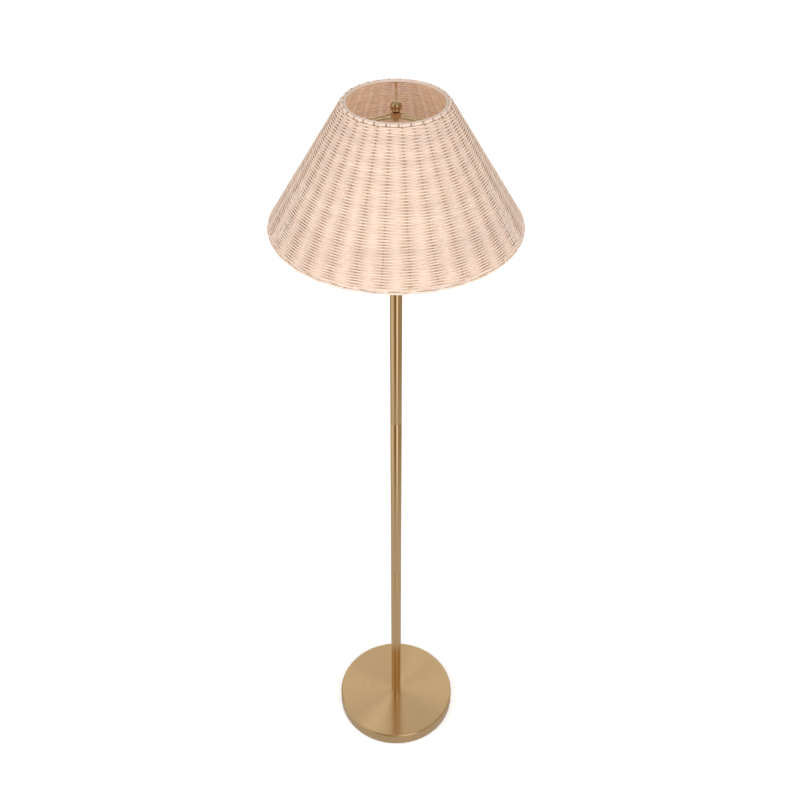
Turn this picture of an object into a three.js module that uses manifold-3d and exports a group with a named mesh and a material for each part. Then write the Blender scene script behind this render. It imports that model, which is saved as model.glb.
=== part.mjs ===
// Floor lamp with a woven rattan shade: a weighted round base, a pole of three
// tubes, a keyed bulb socket, a wire harp and a shade that hangs on its spider.
// Millimetres, +Z up, origin at the centre of the base on the floor, front towards -Y.
import * as THREE from "three";
import { mergeVertices } from "three/addons/utils/BufferGeometryUtils.js";
import Module from "manifold-3d";

const wasm = await Module();
wasm.setup();

// Heights that set the whole lamp
const rimHeight = 1501; // floor to the top of the shade's rim
const spiderDrop = 20; // from the rim down to the middle of the spider's arms
const harpHeight = 178; // from the harp saddle's underside to the shade's seat

// Clearances
const fitGap = 0.2; // radial gap of a turned or threaded fit
const looseGap = 0.3; // gap between pieces that only rest against each other
const keyGap = 0.6; // room round the switch stem in the walls that it passes
const overrun = 1; // how far a cutting solid runs past the surface that it cuts
const weldDistance = 0.0001; // vertices nearer than this are one vertex

// Base
const baseRadius = 130;
const baseHeight = 33; // floor to the top face of the cover
const padThickness = 3;
const padInset = 7; // from the cover's side to the edge of the pad
const padHoleRadius = 30;
const coverWall = 1.2;
const coverEdgeRadius = 4;
const weightGap = 0.6; // between the weight and the cover's side
const recessRadius = 34; // round pocket under the weight for the nut
const recessDepth = 12;
const washerRadius = 22;
const washerThickness = 2;
const nutRadius = 9; // over the corners
const nutThickness = 6;
const cordHeight = 11; // floor to the middle of the cord bushing
const cordHoleRadius = 3.3;
const bushingRadius = 4.6;
const bushingFlangeRadius = 6.6;
const bushingFlange = 2;
const bushingSnap = 1.1; // how far the inner lip stands out from the barrel
const bushingLip = 1.6;
const bushingGap = 0.6;

// Pole
const poleNames = ["lower_pole", "middle_pole", "upper_pole"];
const poleRadius = 11;
const poleWall = 1.2;
const poleChamfer = 0.5;
const insertLength = 15;
const nippleRadius = 5;
const nippleBoreRadius = 3.4;
const nippleEnd = 2; // how far a nipple stops short of its insert's far end
const poleCapHeight = 7.5;
const poleCapBandShare = 0.45; // of the cap's height
const poleCapLip = 1.1; // how far the cap stands out over the tube
const poleCapNeckRadius = 8.2;

// Harp
const wireRadius = 1.9;
const harpHalfWidth = 57;
const postOffset = 31; // from the lamp's axis to each post of the saddle
const postHeight = 11;
const saddleThickness = 1.6;
const saddleHalfWidth = 11; // round the nipple
const saddleArmHalfWidth = 3.6;
const shoulderRadius = 3.4;
const shoulderHeight = 3;
const ferruleRadius = 3.4;
const ferruleLength = 16;
const ferruleTravel = 10;
const bossRadius = 4.6;
const bossWall = 1.6; // below the wire
const studRadius = 3.1;
const studReach = 6.5; // into the finial

// Socket
const socketShellRadius = 16.8;
const socketShellWall = 0.6;
const socketShellLength = 43;
const socketShellBead = 0.6;
const socketCapWall = 0.8;
const socketCapHubRadius = 7.6;
const socketCapHubHeight = 7;
const socketCapHeight = 21;
const capOverlap = 6; // depth of the shell inside the cap's rim
const linerWall = 0.8;
const linerInset = 2; // from each end of the shell
const socketBodyHeight = 20;
const socketSpigotRadius = 7.2;
const socketFlat = 2.4; // depth of each flat that carries a terminal screw
const terminalHeadRadius = 3;
const terminalHead = 1.8;
const terminalShankRadius = 1.5;
const terminalLength = 5;
const screwShellRadius = 14.9;
const screwShellWall = 0.5;
const screwShellLength = 22;
const screwShellHoleRadius = 6.2;
const screwShellLip = 0.8; // how far its rolled rim stands out
const contactThickness = 0.5;
const contactWidth = 6;
const contactRise = 2.6;
const stemRadius = 2;
const stemSeat = 8; // length of the stem inside the socket body
const stemHeight = 6; // of the stem's middle over the cap's rim
const knobRadius = 6.6;
const knobLength = 11;
const knobGap = 10; // from the shell to the knob
const knobSocket = 6; // depth of the hole for the stem
const knobFlutes = 8;
const fluteRadius = 0.9;

// Bulb
const bulbRadius = 30;
const bulbLength = 110;
const bulbNeckRadius = 13;
const bulbWall = 0.8;
const bulbCapLength = 22;
const bulbCapWall = 0.5;
const bulbCapGap = 0.6; // between the socket's screw shell and the bulb's cap
const bulbButtonRadius = 4.6;
const bulbButton = 1.6;
const bulbInsulator = 2.4;
const bulbNeckDepth = 10; // of the glass in the metal cap

// Spider and finial
const armRadius = 1.5;
const armBend = 8;
const armSeat = 2.6; // length of each arm inside the hub
const hubRadius = 8;
const hubHeight = 6.5;
const hubRim = 0.5; // hub above the arms
const finialRadius = 9.3;
const finialFootRadius = 5;

// Shade
const stakes = 30; // upright reeds
const shadeHeight = 207;
const shadeTopRadius = 83.4; // outside
const shadeBottomRadius = 207.5; // outside
const shadeWall = 5; // through a stake and the weave on both sides of it
const weaveDip = 0.7; // how much each side lies lower between the stakes
const topBorderHeight = 7;
const bottomBorderHeight = 9;
const topRingRadius = 2.1; // of its wire
const bottomRingRadius = 2;

// Facets
const rimSegments = 48;
const turnedSegments = 24;
const smallSegments = 16;
const innerSegments = 12; // of the nipples, the inserts and the washer
const ribSteps = 4; // facets for each stake
const wireSides = 8;
const hoopSides = 6;
const quarterSteps = 2; // facets of a rounded edge
const ballSteps = 7;
const domeSteps = 5;
const harpSteps = 40;
const armSteps = 16;
const nutSides = 6;

const halfTurn = Math.PI;
const quarterTurn = Math.PI / 2;
const fullTurn = Math.PI * 2;

// Heights worked out from the sizes above
const armHeight = rimHeight - spiderDrop;
const hubTop = armHeight + armRadius + hubRim;
const hubSeat = hubTop - hubHeight;
const saddleSeat = hubSeat - harpHeight;
const saddleTop = saddleSeat + saddleThickness;
const poleTop = saddleSeat - poleCapHeight;
const sectionLength = (poleTop - baseHeight) / poleNames.length;
const socketCapRim = saddleTop + socketCapHeight;
const shellBottom = socketCapRim - capOverlap;
const shellTop = shellBottom + socketShellLength;
const stemAxis = socketCapRim + stemHeight;
const liningRadius = socketShellRadius - socketShellWall - fitGap - linerWall;
const socketBodyRadius = liningRadius - fitGap;
const socketBodyTop = shellBottom + socketBodyHeight;
const terminalAxis = (shellBottom + socketBodyTop) / 2;
const contactTop = socketBodyTop + contactThickness + contactRise;
const bulbBottom = contactTop + looseGap;
const screwShellInside = screwShellRadius - screwShellLip - screwShellWall;
const capInside = screwShellInside - bulbCapGap - bulbCapWall;
const shadeBottom = rimHeight - shadeHeight;
const shadeSlope = Math.atan2(shadeBottomRadius - shadeTopRadius, shadeHeight);

const finishes = {
  brass: { color: 0xc8a369, roughness: 0.38, metalness: 1 },
  paleBrass: { color: 0xd3b681, roughness: 0.3, metalness: 1 },
  steel: { color: 0xb9b7b2, roughness: 0.4, metalness: 1 },
  concrete: { color: 0x8f8c86, roughness: 0.95, metalness: 0 },
  felt: { color: 0x2c2a28, roughness: 1, metalness: 0 },
  blackPlastic: { color: 0x1b1a19, roughness: 0.45, metalness: 0 },
  phenolic: { color: 0x2a1e18, roughness: 0.5, metalness: 0 },
  cardboard: { color: 0x9a7a55, roughness: 0.95, metalness: 0 },
  frostedGlass: { color: 0xf4f1ea, roughness: 0.5, metalness: 0 },
  rattan: { color: 0xe9cdb4, roughness: 0.7, metalness: 0 },
  rattanBorder: { color: 0xefd8c3, roughness: 0.65, metalness: 0 },
  coatedSteel: { color: 0xead9c6, roughness: 0.5, metalness: 0 },
};

const lamp = new THREE.Group();

function addMesh(group, name, geometry, finish) {
  const mesh = new THREE.Mesh(geometry, new THREE.MeshStandardMaterial(finishes[finish]));
  mesh.name = name;
  group.add(mesh);
  return mesh;
}

// A profile of [radius, height] points, anticlockwise, turned round the Z axis.
// One that touches the axis starts and ends there, and any other closes on itself.
function turned(profile, segments) {
  const points = profile.map(([radius, height]) => new THREE.Vector2(radius, height));
  if (profile[0][0] > 0) points.push(points[0].clone());
  return new THREE.LatheGeometry(points, segments).rotateX(quarterTurn);
}

function ringProfile(inner, outer, bottom, top) {
  return [[inner, bottom], [outer, bottom], [outer, top], [inner, top]];
}

// Points of an arc in a profile, angles from the radial direction.
function arc(radius, centre, from, to, steps) {
  const points = [];
  for (let i = 0; i <= steps; i += 1) {
    const angle = from + ((to - from) * i) / steps;
    points.push([centre[0] + radius * Math.cos(angle), centre[1] + radius * Math.sin(angle)]);
  }
  return points;
}

// A cylinder from start to end, both on one line, as a cutter or a pin.
function rod(radius, start, end, segments) {
  const from = new THREE.Vector3(...start);
  const line = new THREE.Vector3(...end).sub(from);
  const geometry = new THREE.CylinderGeometry(radius, radius, line.length(), segments);
  const up = new THREE.Vector3(0, 1, 0);
  const turn = new THREE.Quaternion().setFromUnitVectors(up, line.clone().normalize());
  const middle = from.addScaledVector(line, 1 / 2);
  return geometry.applyQuaternion(turn).translate(middle.x, middle.y, middle.z);
}

// A round wire along a curve.
function wireAlong(curve, radius, steps) {
  const section = new THREE.Shape().absarc(0, 0, radius, 0, fullTurn);
  return new THREE.ExtrudeGeometry(section, {
    extrudePath: curve,
    steps,
    bevelEnabled: false,
    curveSegments: wireSides / 2,
  });
}

function toSolid(geometry) {
  const bare = geometry.clone();
  bare.deleteAttribute("normal");
  bare.deleteAttribute("uv");
  const merged = mergeVertices(bare, weldDistance);
  const mesh = new wasm.Mesh({
    numProp: 3,
    vertProperties: merged.attributes.position.array,
    triVerts: new Uint32Array(merged.index.array),
  });
  return new wasm.Manifold(mesh);
}

function toGeometry(solid) {
  const mesh = solid.getMesh();
  const geometry = new THREE.BufferGeometry();
  const places = new THREE.BufferAttribute(mesh.vertProperties, mesh.numProp);
  geometry.setAttribute("position", places);
  geometry.setIndex(new THREE.BufferAttribute(mesh.triVerts, 1));
  geometry.computeVertexNormals();
  return geometry;
}

function cut(geometry, ...cutters) {
  let solid = toSolid(geometry);
  for (const cutter of cutters) solid = solid.subtract(toSolid(cutter));
  return toGeometry(solid);
}

function join(...geometries) {
  const [first, ...rest] = geometries.map(toSolid);
  return toGeometry(rest.reduce((sum, solid) => sum.add(solid), first));
}

// The spun cover: a flat top, a rounded edge, a straight side and a hole for the nipple.
function baseCover() {
  const hole = nippleRadius + fitGap;
  const turn = baseRadius - coverEdgeRadius;
  const rise = baseHeight - coverEdgeRadius;
  const inside = coverEdgeRadius - coverWall;
  const profile = [
    [baseRadius - coverWall, padThickness],
    [baseRadius, padThickness],
    ...arc(coverEdgeRadius, [turn, rise], 0, quarterTurn, quarterSteps),
    [hole, baseHeight],
    [hole, baseHeight - coverWall],
    ...arc(inside, [turn, rise], quarterTurn, 0, quarterSteps),
  ];
  const cordHole = rod(
    bushingRadius + fitGap,
    [0, baseRadius - coverWall - overrun, cordHeight],
    [0, baseRadius + overrun, cordHeight],
    smallSegments,
  );
  return cut(turned(profile, rimSegments), cordHole);
}

// The cast weight: a pocket for the nut and a channel that takes the cord to the rear.
function baseWeight() {
  const outer = baseRadius - coverWall - weightGap;
  const top = baseHeight - coverWall;
  const hole = nippleRadius + fitGap;
  const pocket = padThickness + recessDepth;
  const profile = [
    [hole, pocket],
    [recessRadius, pocket],
    [recessRadius, padThickness],
    [outer, padThickness],
    [outer, top - coverEdgeRadius],
    [outer - coverEdgeRadius, top],
    [hole, top],
  ];
  const halfChannel = bushingRadius + bushingSnap + looseGap;
  const channelTop = cordHeight + halfChannel;
  const length = outer + overrun - recessRadius / 2;
  const height = channelTop - padThickness + overrun;
  const channel = new THREE.BoxGeometry(2 * halfChannel, length, height);
  channel.translate(0, recessRadius / 2 + length / 2, channelTop - height / 2);
  return cut(turned(profile, rimSegments), channel);
}

// The bushing lies along +Y, its flange outside the cover and its lip inside.
function cordBushing() {
  const barrelEnd = -coverWall - bushingGap;
  const lip = bushingRadius + bushingSnap;
  const flangeTop = looseGap + bushingFlange;
  const profile = [
    [cordHoleRadius, barrelEnd - bushingLip],
    [bushingRadius, barrelEnd - bushingLip],
    [lip, barrelEnd],
    [bushingRadius, barrelEnd],
    [bushingRadius, looseGap],
    [bushingFlangeRadius, looseGap],
    [bushingFlangeRadius, flangeTop - bushingFlange / 2],
    [bushingFlangeRadius - bushingFlange / 2, flangeTop],
    [cordHoleRadius, flangeTop],
  ];
  return turned(profile, smallSegments).rotateX(-quarterTurn);
}

function addBase() {
  const base = new THREE.Group();
  const nutTop = padThickness + recessDepth - washerThickness;
  const nutBottom = nutTop - nutThickness;
  const hole = nippleRadius + fitGap;
  addMesh(base, "base_cover", baseCover(), "brass");
  addMesh(base, "base_weight", baseWeight(), "concrete");
  const pad = ringProfile(padHoleRadius, baseRadius - padInset, 0, padThickness);
  addMesh(base, "base_pad", turned(pad, rimSegments), "felt");
  const bushing = addMesh(base, "cord_bushing", cordBushing(), "blackPlastic");
  bushing.position.set(0, baseRadius, cordHeight);
  const washer = ringProfile(hole, washerRadius, nutTop, nutTop + washerThickness);
  addMesh(base, "base_washer", turned(washer, innerSegments), "steel");
  const nutBlank = rod(nutRadius, [0, 0, nutBottom], [0, 0, nutTop], nutSides);
  const nutBore = rod(hole, [0, 0, nutBottom - overrun], [0, 0, nutTop + overrun], smallSegments);
  addMesh(base, "base_nut", cut(nutBlank, nutBore), "steel");
  const nipple = ringProfile(
    nippleBoreRadius,
    nippleRadius,
    nutBottom - nippleEnd / 2,
    baseHeight + insertLength - nippleEnd,
  );
  addMesh(base, "base_nipple", turned(nipple, innerSegments), "steel");
  lamp.add(base);
}

// One tube of the pole, with an insert flush with each of its ends.
function addPoleSection(index, name) {
  const section = new THREE.Group();
  const inner = poleRadius - poleWall;
  const edge = poleRadius - poleChamfer;
  const tube = [
    [inner, 0],
    [edge, 0],
    [poleRadius, poleChamfer],
    [poleRadius, sectionLength - poleChamfer],
    [edge, sectionLength],
    [inner, sectionLength],
  ];
  addMesh(section, name, turned(tube, turnedSegments), "brass");
  const insert = ringProfile(nippleRadius + fitGap, inner - fitGap, 0, insertLength);
  addMesh(section, name + "_foot_insert", turned(insert, innerSegments), "steel");
  const head = addMesh(section, name + "_head_insert", turned(insert, innerSegments), "steel");
  head.position.z = sectionLength - insertLength;
  section.position.z = baseHeight + index * sectionLength;
  lamp.add(section);
}

function addPole() {
  poleNames.forEach((name, index) => addPoleSection(index, name));
  const reach = insertLength - nippleEnd;
  const coupling = ringProfile(nippleBoreRadius, nippleRadius, -reach, reach);
  ["lower_joint_nipple", "upper_joint_nipple"].forEach((name, index) => {
    const nipple = addMesh(lamp, name, turned(coupling, innerSegments), "steel");
    nipple.position.z = baseHeight + (index + 1) * sectionLength;
  });
  const hole = nippleRadius + fitGap;
  const lip = poleRadius + poleCapLip;
  const bandTop = poleTop + poleCapHeight * poleCapBandShare;
  const cap = [
    [hole, poleTop],
    [lip - poleChamfer, poleTop],
    [lip, poleTop + poleChamfer],
    [lip, bandTop],
    [poleCapNeckRadius + poleChamfer, bandTop + poleChamfer],
    [poleCapNeckRadius, saddleSeat],
    [hole, saddleSeat],
  ];
  addMesh(lamp, "pole_cap", turned(cap, turnedSegments), "brass");
  const topNipple = ringProfile(
    nippleBoreRadius,
    nippleRadius,
    poleTop - reach,
    saddleTop + socketCapHubHeight - nippleEnd,
  );
  addMesh(lamp, "top_nipple", turned(topNipple, innerSegments), "steel");
}

// The saddle: a strip with a round middle and two posts that the harp's legs stand on.
function harpSaddle() {
  const reach = postOffset + shoulderRadius;
  const strip = new THREE.Shape();
  const joinAngle = Math.asin(saddleArmHalfWidth / saddleHalfWidth);
  const arms = [0, halfTurn];
  for (const side of arms) {
    strip.absarc(0, 0, saddleHalfWidth, side - halfTurn + joinAngle, side - joinAngle);
    strip.lineTo(Math.cos(side) * reach, -Math.cos(side) * saddleArmHalfWidth);
    strip.lineTo(Math.cos(side) * reach, Math.cos(side) * saddleArmHalfWidth);
  }
  const hole = new THREE.Path().absarc(0, 0, nippleRadius + fitGap, 0, fullTurn, true);
  strip.holes.push(hole);
  const plate = new THREE.ExtrudeGeometry(strip, {
    depth: saddleThickness,
    bevelEnabled: false,
    curveSegments: smallSegments / 2,
  });
  const shoulder = saddleThickness + shoulderHeight;
  const posts = [-postOffset, postOffset].flatMap((x) => [
    rod(shoulderRadius, [x, 0, saddleThickness / 2], [x, 0, shoulder], smallSegments / 2),
    rod(wireRadius, [x, 0, saddleThickness / 2], [x, 0, saddleThickness + postHeight], wireSides),
  ]);
  return join(plate, ...posts);
}

// The harp: two upright legs that swell outwards and meet in a flat arch.
const legBottom = saddleTop + postHeight + looseGap;
const ferruleBottom = saddleTop + shoulderHeight + looseGap;
const legStraight = ferruleBottom + ferruleLength + ferruleTravel;
const bendStart = legStraight + wireRadius * 2;
const wireTop = hubSeat - looseGap - wireRadius * 2;
const harpShares = [
  [0.96, 0.36],
  [1, 0.54],
  [0.93, 0.75],
  [0.72, 0.92],
  [0.4, 0.985],
];

function harpWire() {
  const rise = wireTop - bendStart;
  const side = (sign) => [
    new THREE.Vector3(sign * postOffset, 0, legBottom),
    new THREE.Vector3(sign * postOffset, 0, (legBottom + legStraight) / 2),
    new THREE.Vector3(sign * postOffset, 0, legStraight),
    new THREE.Vector3(sign * postOffset, 0, bendStart),
    ...harpShares.map(
      ([out, up]) => new THREE.Vector3(sign * out * harpHalfWidth, 0, bendStart + up * rise),
    ),
  ];
  const top = new THREE.Vector3(0, 0, wireTop);
  const curve = new THREE.CatmullRomCurve3([...side(-1), top, ...side(1).reverse()]);
  return wireAlong(curve, wireRadius, harpSteps);
}

// The stud: a boss that the wire passes through, and the threaded end that takes the finial.
function harpStud() {
  const bossBottom = wireTop - wireRadius - fitGap - bossWall;
  const bossTop = hubSeat - looseGap;
  const studTop = hubTop + studReach;
  const profile = [
    [0, bossBottom],
    [bossRadius, bossBottom],
    [bossRadius, bossTop],
    [studRadius, bossTop],
    [studRadius, studTop],
    [0, studTop],
  ];
  const span = bossRadius + overrun;
  const hole = rod(wireRadius + looseGap, [-span, 0, wireTop], [span, 0, wireTop], wireSides * 2);
  return cut(turned(profile, smallSegments), hole);
}

function addHarp() {
  const saddle = addMesh(lamp, "harp_saddle", harpSaddle(), "brass");
  saddle.position.z = saddleSeat;
  addMesh(lamp, "harp_wire", harpWire(), "paleBrass");
  addMesh(lamp, "harp_stud", harpStud(), "paleBrass");
  const bore = wireRadius + fitGap;
  const waist = ferruleRadius - fitGap;
  const ferrule = [
    [bore, 0],
    [ferruleRadius, 0],
    [waist, ferruleLength / 4],
    [waist, (ferruleLength * 3) / 4],
    [ferruleRadius, ferruleLength],
    [bore, ferruleLength],
  ];
  for (const [name, x] of [["left_harp_ferrule", -postOffset], ["right_harp_ferrule", postOffset]]) {
    const mesh = addMesh(lamp, name, turned(ferrule, smallSegments / 2), "paleBrass");
    mesh.position.set(x, 0, ferruleBottom);
  }
}

function stemCutter(radius) {
  const start = [0, 0, stemAxis];
  const end = [0, -socketShellRadius - socketCapWall - overrun, stemAxis];
  return rod(radius, start, end, smallSegments / 2);
}

function socketCap() {
  const hole = nippleRadius + fitGap;
  const inner = socketShellRadius + fitGap;
  const outer = inner + socketCapWall;
  const hubTopHeight = saddleTop + socketCapHubHeight;
  const shoulder = shellBottom - fitGap;
  const bend = socketCapWall * 2;
  return [
    [hole, saddleTop],
    [socketCapHubRadius, saddleTop],
    [socketCapHubRadius, hubTopHeight - socketCapWall],
    [outer - bend, shoulder - bend],
    [outer, shoulder],
    [outer, socketCapRim],
    [inner, socketCapRim],
    [inner, shoulder],
    [inner - bend, shoulder - bend + socketCapWall / 2],
    [socketCapHubRadius, hubTopHeight],
    [hole, hubTopHeight],
  ];
}

function socketShell() {
  const inner = socketShellRadius - socketShellWall;
  const bead = socketShellRadius + socketShellBead;
  return [
    [inner, shellBottom],
    [socketShellRadius, shellBottom],
    [socketShellRadius, shellTop - 3 * socketShellBead],
    [bead, shellTop - 2 * socketShellBead],
    [bead, shellTop - socketShellBead],
    [socketShellRadius, shellTop],
    [inner, shellTop],
  ];
}

function socketBody() {
  const floor = saddleTop + socketCapHubHeight + looseGap;
  const bottom = shellBottom + fitGap;
  const body = turned(
    [
      [0, floor],
      [socketSpigotRadius, floor],
      [socketSpigotRadius, bottom],
      [socketBodyRadius, bottom],
      [socketBodyRadius, socketBodyTop],
      [0, socketBodyTop],
    ],
    turnedSegments,
  );
  const stemBore = rod(
    stemRadius + looseGap,
    [0, looseGap + stemSeat - socketBodyRadius, stemAxis],
    [0, -socketBodyRadius - overrun, stemAxis],
    smallSegments / 2,
  );
  const cutters = [stemBore];
  const face = socketBodyRadius - socketFlat;
  for (const side of [-1, 1]) {
    const flat = new THREE.BoxGeometry(
      socketFlat + overrun,
      2 * terminalHeadRadius + 2 * looseGap,
      socketBodyTop - bottom + 2 * overrun,
    );
    flat.translate(side * (face + (socketFlat + overrun) / 2), 0, (socketBodyTop + bottom) / 2);
    const depth = face - terminalLength - looseGap;
    const from = [side * (face + overrun), 0, terminalAxis];
    const to = [side * depth, 0, terminalAxis];
    cutters.push(flat, rod(terminalShankRadius + fitGap, from, to, wireSides));
  }
  return cut(body, ...cutters);
}

// A cheese-headed screw whose head lies on a flat of the socket body.
function terminalScrew() {
  const headBottom = fitGap;
  return turned(
    [
      [0, -terminalLength],
      [terminalShankRadius, -terminalLength],
      [terminalShankRadius, headBottom],
      [terminalHeadRadius, headBottom],
      [terminalHeadRadius, headBottom + terminalHead - terminalHead / 4],
      [terminalHeadRadius - terminalHead / 4, headBottom + terminalHead],
      [0, headBottom + terminalHead],
    ],
    smallSegments / 2,
  );
}

// The screw shell: a thimble with a hole for the contact and a rolled rim.
function screwShell() {
  const bottom = socketBodyTop;
  const floor = bottom + screwShellWall;
  const top = bottom + screwShellLength;
  return turned(
    [
      [screwShellHoleRadius, bottom],
      [screwShellRadius - screwShellLip, bottom],
      [screwShellRadius - screwShellLip, top - 2 * screwShellLip],
      [screwShellRadius, top - screwShellLip],
      [screwShellRadius - screwShellLip, top],
      [screwShellInside, top],
      [screwShellInside, floor],
      [screwShellHoleRadius, floor],
    ],
    turnedSegments,
  );
}

// The contact tongue: a strip that lies on the body and rises to meet the bulb.
function centreContact() {
  const half = screwShellHoleRadius - looseGap - contactThickness;
  const rise = contactThickness + contactRise;
  const strip = new THREE.Shape();
  strip.moveTo(-half, 0);
  strip.lineTo(half, 0);
  strip.lineTo(half, contactThickness);
  strip.lineTo(-half / 2, contactThickness);
  strip.lineTo(-half / 4, rise - contactThickness);
  strip.lineTo(half / 2, rise - contactThickness);
  strip.lineTo(half / 2, rise);
  strip.lineTo(-half / 2, rise);
  strip.lineTo(-half + contactThickness, contactThickness);
  strip.lineTo(-half, contactThickness);
  strip.closePath();
  const width = Math.min(contactWidth, half);
  const geometry = new THREE.ExtrudeGeometry(strip, { depth: width, bevelEnabled: false });
  return geometry.rotateX(quarterTurn).translate(0, width / 2, 0);
}

function addSocket() {
  const shellSlot = stemCutter(stemRadius + keyGap);
  addMesh(lamp, "socket_cap", turned(socketCap(), turnedSegments), "brass");
  addMesh(lamp, "socket_shell", cut(turned(socketShell(), turnedSegments), shellSlot), "brass");
  const liner = ringProfile(
    liningRadius,
    liningRadius + linerWall,
    shellBottom + linerInset,
    shellTop - linerInset,
  );
  addMesh(lamp, "socket_liner", cut(turned(liner, turnedSegments), shellSlot), "cardboard");
  addMesh(lamp, "socket_body", socketBody(), "phenolic");
  addMesh(lamp, "screw_shell", screwShell(), "brass");
  const contact = addMesh(lamp, "centre_contact", centreContact(), "brass");
  contact.position.z = socketBodyTop;
  const face = socketBodyRadius - socketFlat;
  for (const [name, side, finish] of [
    ["live_terminal_screw", -1, "brass"],
    ["neutral_terminal_screw", 1, "steel"],
  ]) {
    const screw = addMesh(lamp, name, terminalScrew(), finish);
    screw.rotation.y = side * quarterTurn;
    screw.position.set(side * face, 0, terminalAxis);
  }
}

// The switch key: a stem that turns in the socket body and a fluted knob on it.
function addSwitch() {
  const stemStart = stemSeat - socketBodyRadius;
  const knobStart = -socketShellRadius - knobGap;
  const stemEnd = knobStart - knobSocket + looseGap;
  const stem = rod(stemRadius, [0, stemStart, 0], [0, stemEnd, 0], smallSegments / 2);
  const knobEnd = knobStart - knobLength;
  const crown = knobRadius / 4;
  const barrel = turned(
    [
      [0, 0],
      [knobRadius - crown, 0],
      [knobRadius, crown],
      [knobRadius - crown / 2, knobLength - crown],
      [knobRadius - crown, knobLength],
      [0, knobLength],
    ],
    turnedSegments,
  ).rotateX(quarterTurn);
  barrel.translate(0, knobStart, 0);
  const flutes = [];
  for (let i = 0; i < knobFlutes; i += 1) {
    const angle = (i * fullTurn) / knobFlutes;
    const x = Math.cos(angle) * knobRadius;
    const z = Math.sin(angle) * knobRadius;
    const from = [x, knobStart - crown, z];
    flutes.push(rod(fluteRadius, from, [x, knobEnd - overrun, z], wireSides));
  }
  const socketFrom = [0, knobStart + overrun, 0];
  const socketTo = [0, knobStart - knobSocket, 0];
  const bore = rod(stemRadius + fitGap, socketFrom, socketTo, smallSegments / 2);
  const key = new THREE.Group();
  addMesh(key, "switch_stem", stem, "steel");
  addMesh(key, "switch_knob", cut(barrel, bore, ...flutes), "blackPlastic");
  key.position.z = stemAxis;
  lamp.add(key);
}

// The glass: a thin shell, open at its neck, round above and drawn in below.
function bulbGlass() {
  const capBottom = bulbBottom + bulbButton + bulbInsulator;
  const capTop = capBottom + bulbCapLength;
  const stemOuter = capInside - fitGap;
  const neckBottom = capTop - bulbNeckDepth;
  const neckTop = capTop + looseGap;
  const centre = bulbBottom + bulbLength - bulbRadius;
  const outer = (inset) => {
    const start = new THREE.Vector2(bulbNeckRadius - inset, neckTop + inset);
    const lowest = -fullTurn / 12;
    const radius = bulbRadius - inset;
    const meet = arc(radius, [0, centre], lowest, quarterTurn, domeSteps);
    const first = new THREE.Vector2(...meet[0]);
    const rise = (first.y - start.y) / 2;
    const flare = new THREE.CubicBezierCurve(
      start,
      new THREE.Vector2(start.x, start.y + rise),
      new THREE.Vector2(first.x - rise / 2, first.y - rise),
      first,
    );
    const curve = flare.getPoints(domeSteps - 1).slice(0, -1);
    meet[meet.length - 1][0] = 0;
    return [...curve.map((point) => [point.x, point.y]), ...meet];
  };
  const neckInner = stemOuter - bulbWall;
  const profile = [
    ...outer(bulbWall).reverse(),
    [neckInner, neckTop],
    [neckInner, neckBottom],
    [stemOuter, neckBottom],
    [stemOuter, neckTop],
    ...outer(0),
  ];
  return turned(profile, turnedSegments);
}

function addBulb() {
  const buttonTop = bulbBottom + bulbButton;
  const capBottom = buttonTop + bulbInsulator;
  const capTop = capBottom + bulbCapLength;
  const outer = capInside + bulbCapWall;
  const button = [
    [0, bulbBottom],
    [bulbButtonRadius - bulbButton / 2, bulbBottom],
    [bulbButtonRadius, buttonTop],
    [0, buttonTop],
  ];
  const insulator = [
    [0, buttonTop],
    [bulbButtonRadius + looseGap, buttonTop],
    [capInside - bulbCapWall, capBottom],
    [0, capBottom],
  ];
  const cap = [
    [bulbButtonRadius, capBottom],
    [outer - bulbCapWall, capBottom],
    [outer, capBottom + bulbCapWall],
    [outer, capTop],
    [capInside, capTop],
    [capInside, capBottom + bulbCapWall],
    [bulbButtonRadius, capBottom + bulbCapWall],
  ];
  const bulb = new THREE.Group();
  addMesh(bulb, "bulb_button", turned(button, smallSegments), "steel");
  addMesh(bulb, "bulb_insulator", turned(insulator, smallSegments), "blackPlastic");
  addMesh(bulb, "bulb_cap", turned(cap, turnedSegments), "steel");
  addMesh(bulb, "bulb_glass", bulbGlass(), "frostedGlass");
  lamp.add(bulb);
}

// Arms stand behind the finial and towards the front left and the front right.
const armNames = ["back_spider_arm", "left_spider_arm", "right_spider_arm"];
const ringCentreHeight = rimHeight - topRingRadius - looseGap;
const ringCentreRadius = wallRadius(ringCentreHeight) - topRingRadius - looseGap;

function armAngle(index) {
  return quarterTurn + (index * fullTurn) / armNames.length;
}

function spiderHub() {
  const blank = ringProfile(studRadius + looseGap, hubRadius, hubSeat, hubTop);
  const cutters = armNames.map((name, index) => {
    const angle = armAngle(index);
    const inner = hubRadius - armSeat - fitGap;
    const outer = hubRadius + overrun;
    const from = [inner * Math.cos(angle), inner * Math.sin(angle), armHeight];
    const to = [outer * Math.cos(angle), outer * Math.sin(angle), armHeight];
    return rod(armRadius + fitGap, from, to, wireSides);
  });
  return cut(turned(blank, turnedSegments), ...cutters);
}

// An arm runs level from the hub, then turns up to end just under the top ring.
function spiderArm() {
  const path = new THREE.CurvePath();
  const start = new THREE.Vector3(hubRadius - armSeat, 0, 0);
  const turnStart = new THREE.Vector3(ringCentreRadius - armBend, 0, 0);
  const corner = new THREE.Vector3(ringCentreRadius, 0, 0);
  const top = ringCentreHeight - topRingRadius - looseGap - armHeight;
  const turnEnd = new THREE.Vector3(ringCentreRadius, 0, Math.min(armBend, top / 2));
  const end = new THREE.Vector3(ringCentreRadius, 0, top);
  path.add(new THREE.LineCurve3(start, turnStart));
  path.add(new THREE.QuadraticBezierCurve3(turnStart, corner, turnEnd));
  path.add(new THREE.LineCurve3(turnEnd, end));
  return wireAlong(path, armRadius, armSteps);
}

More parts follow.
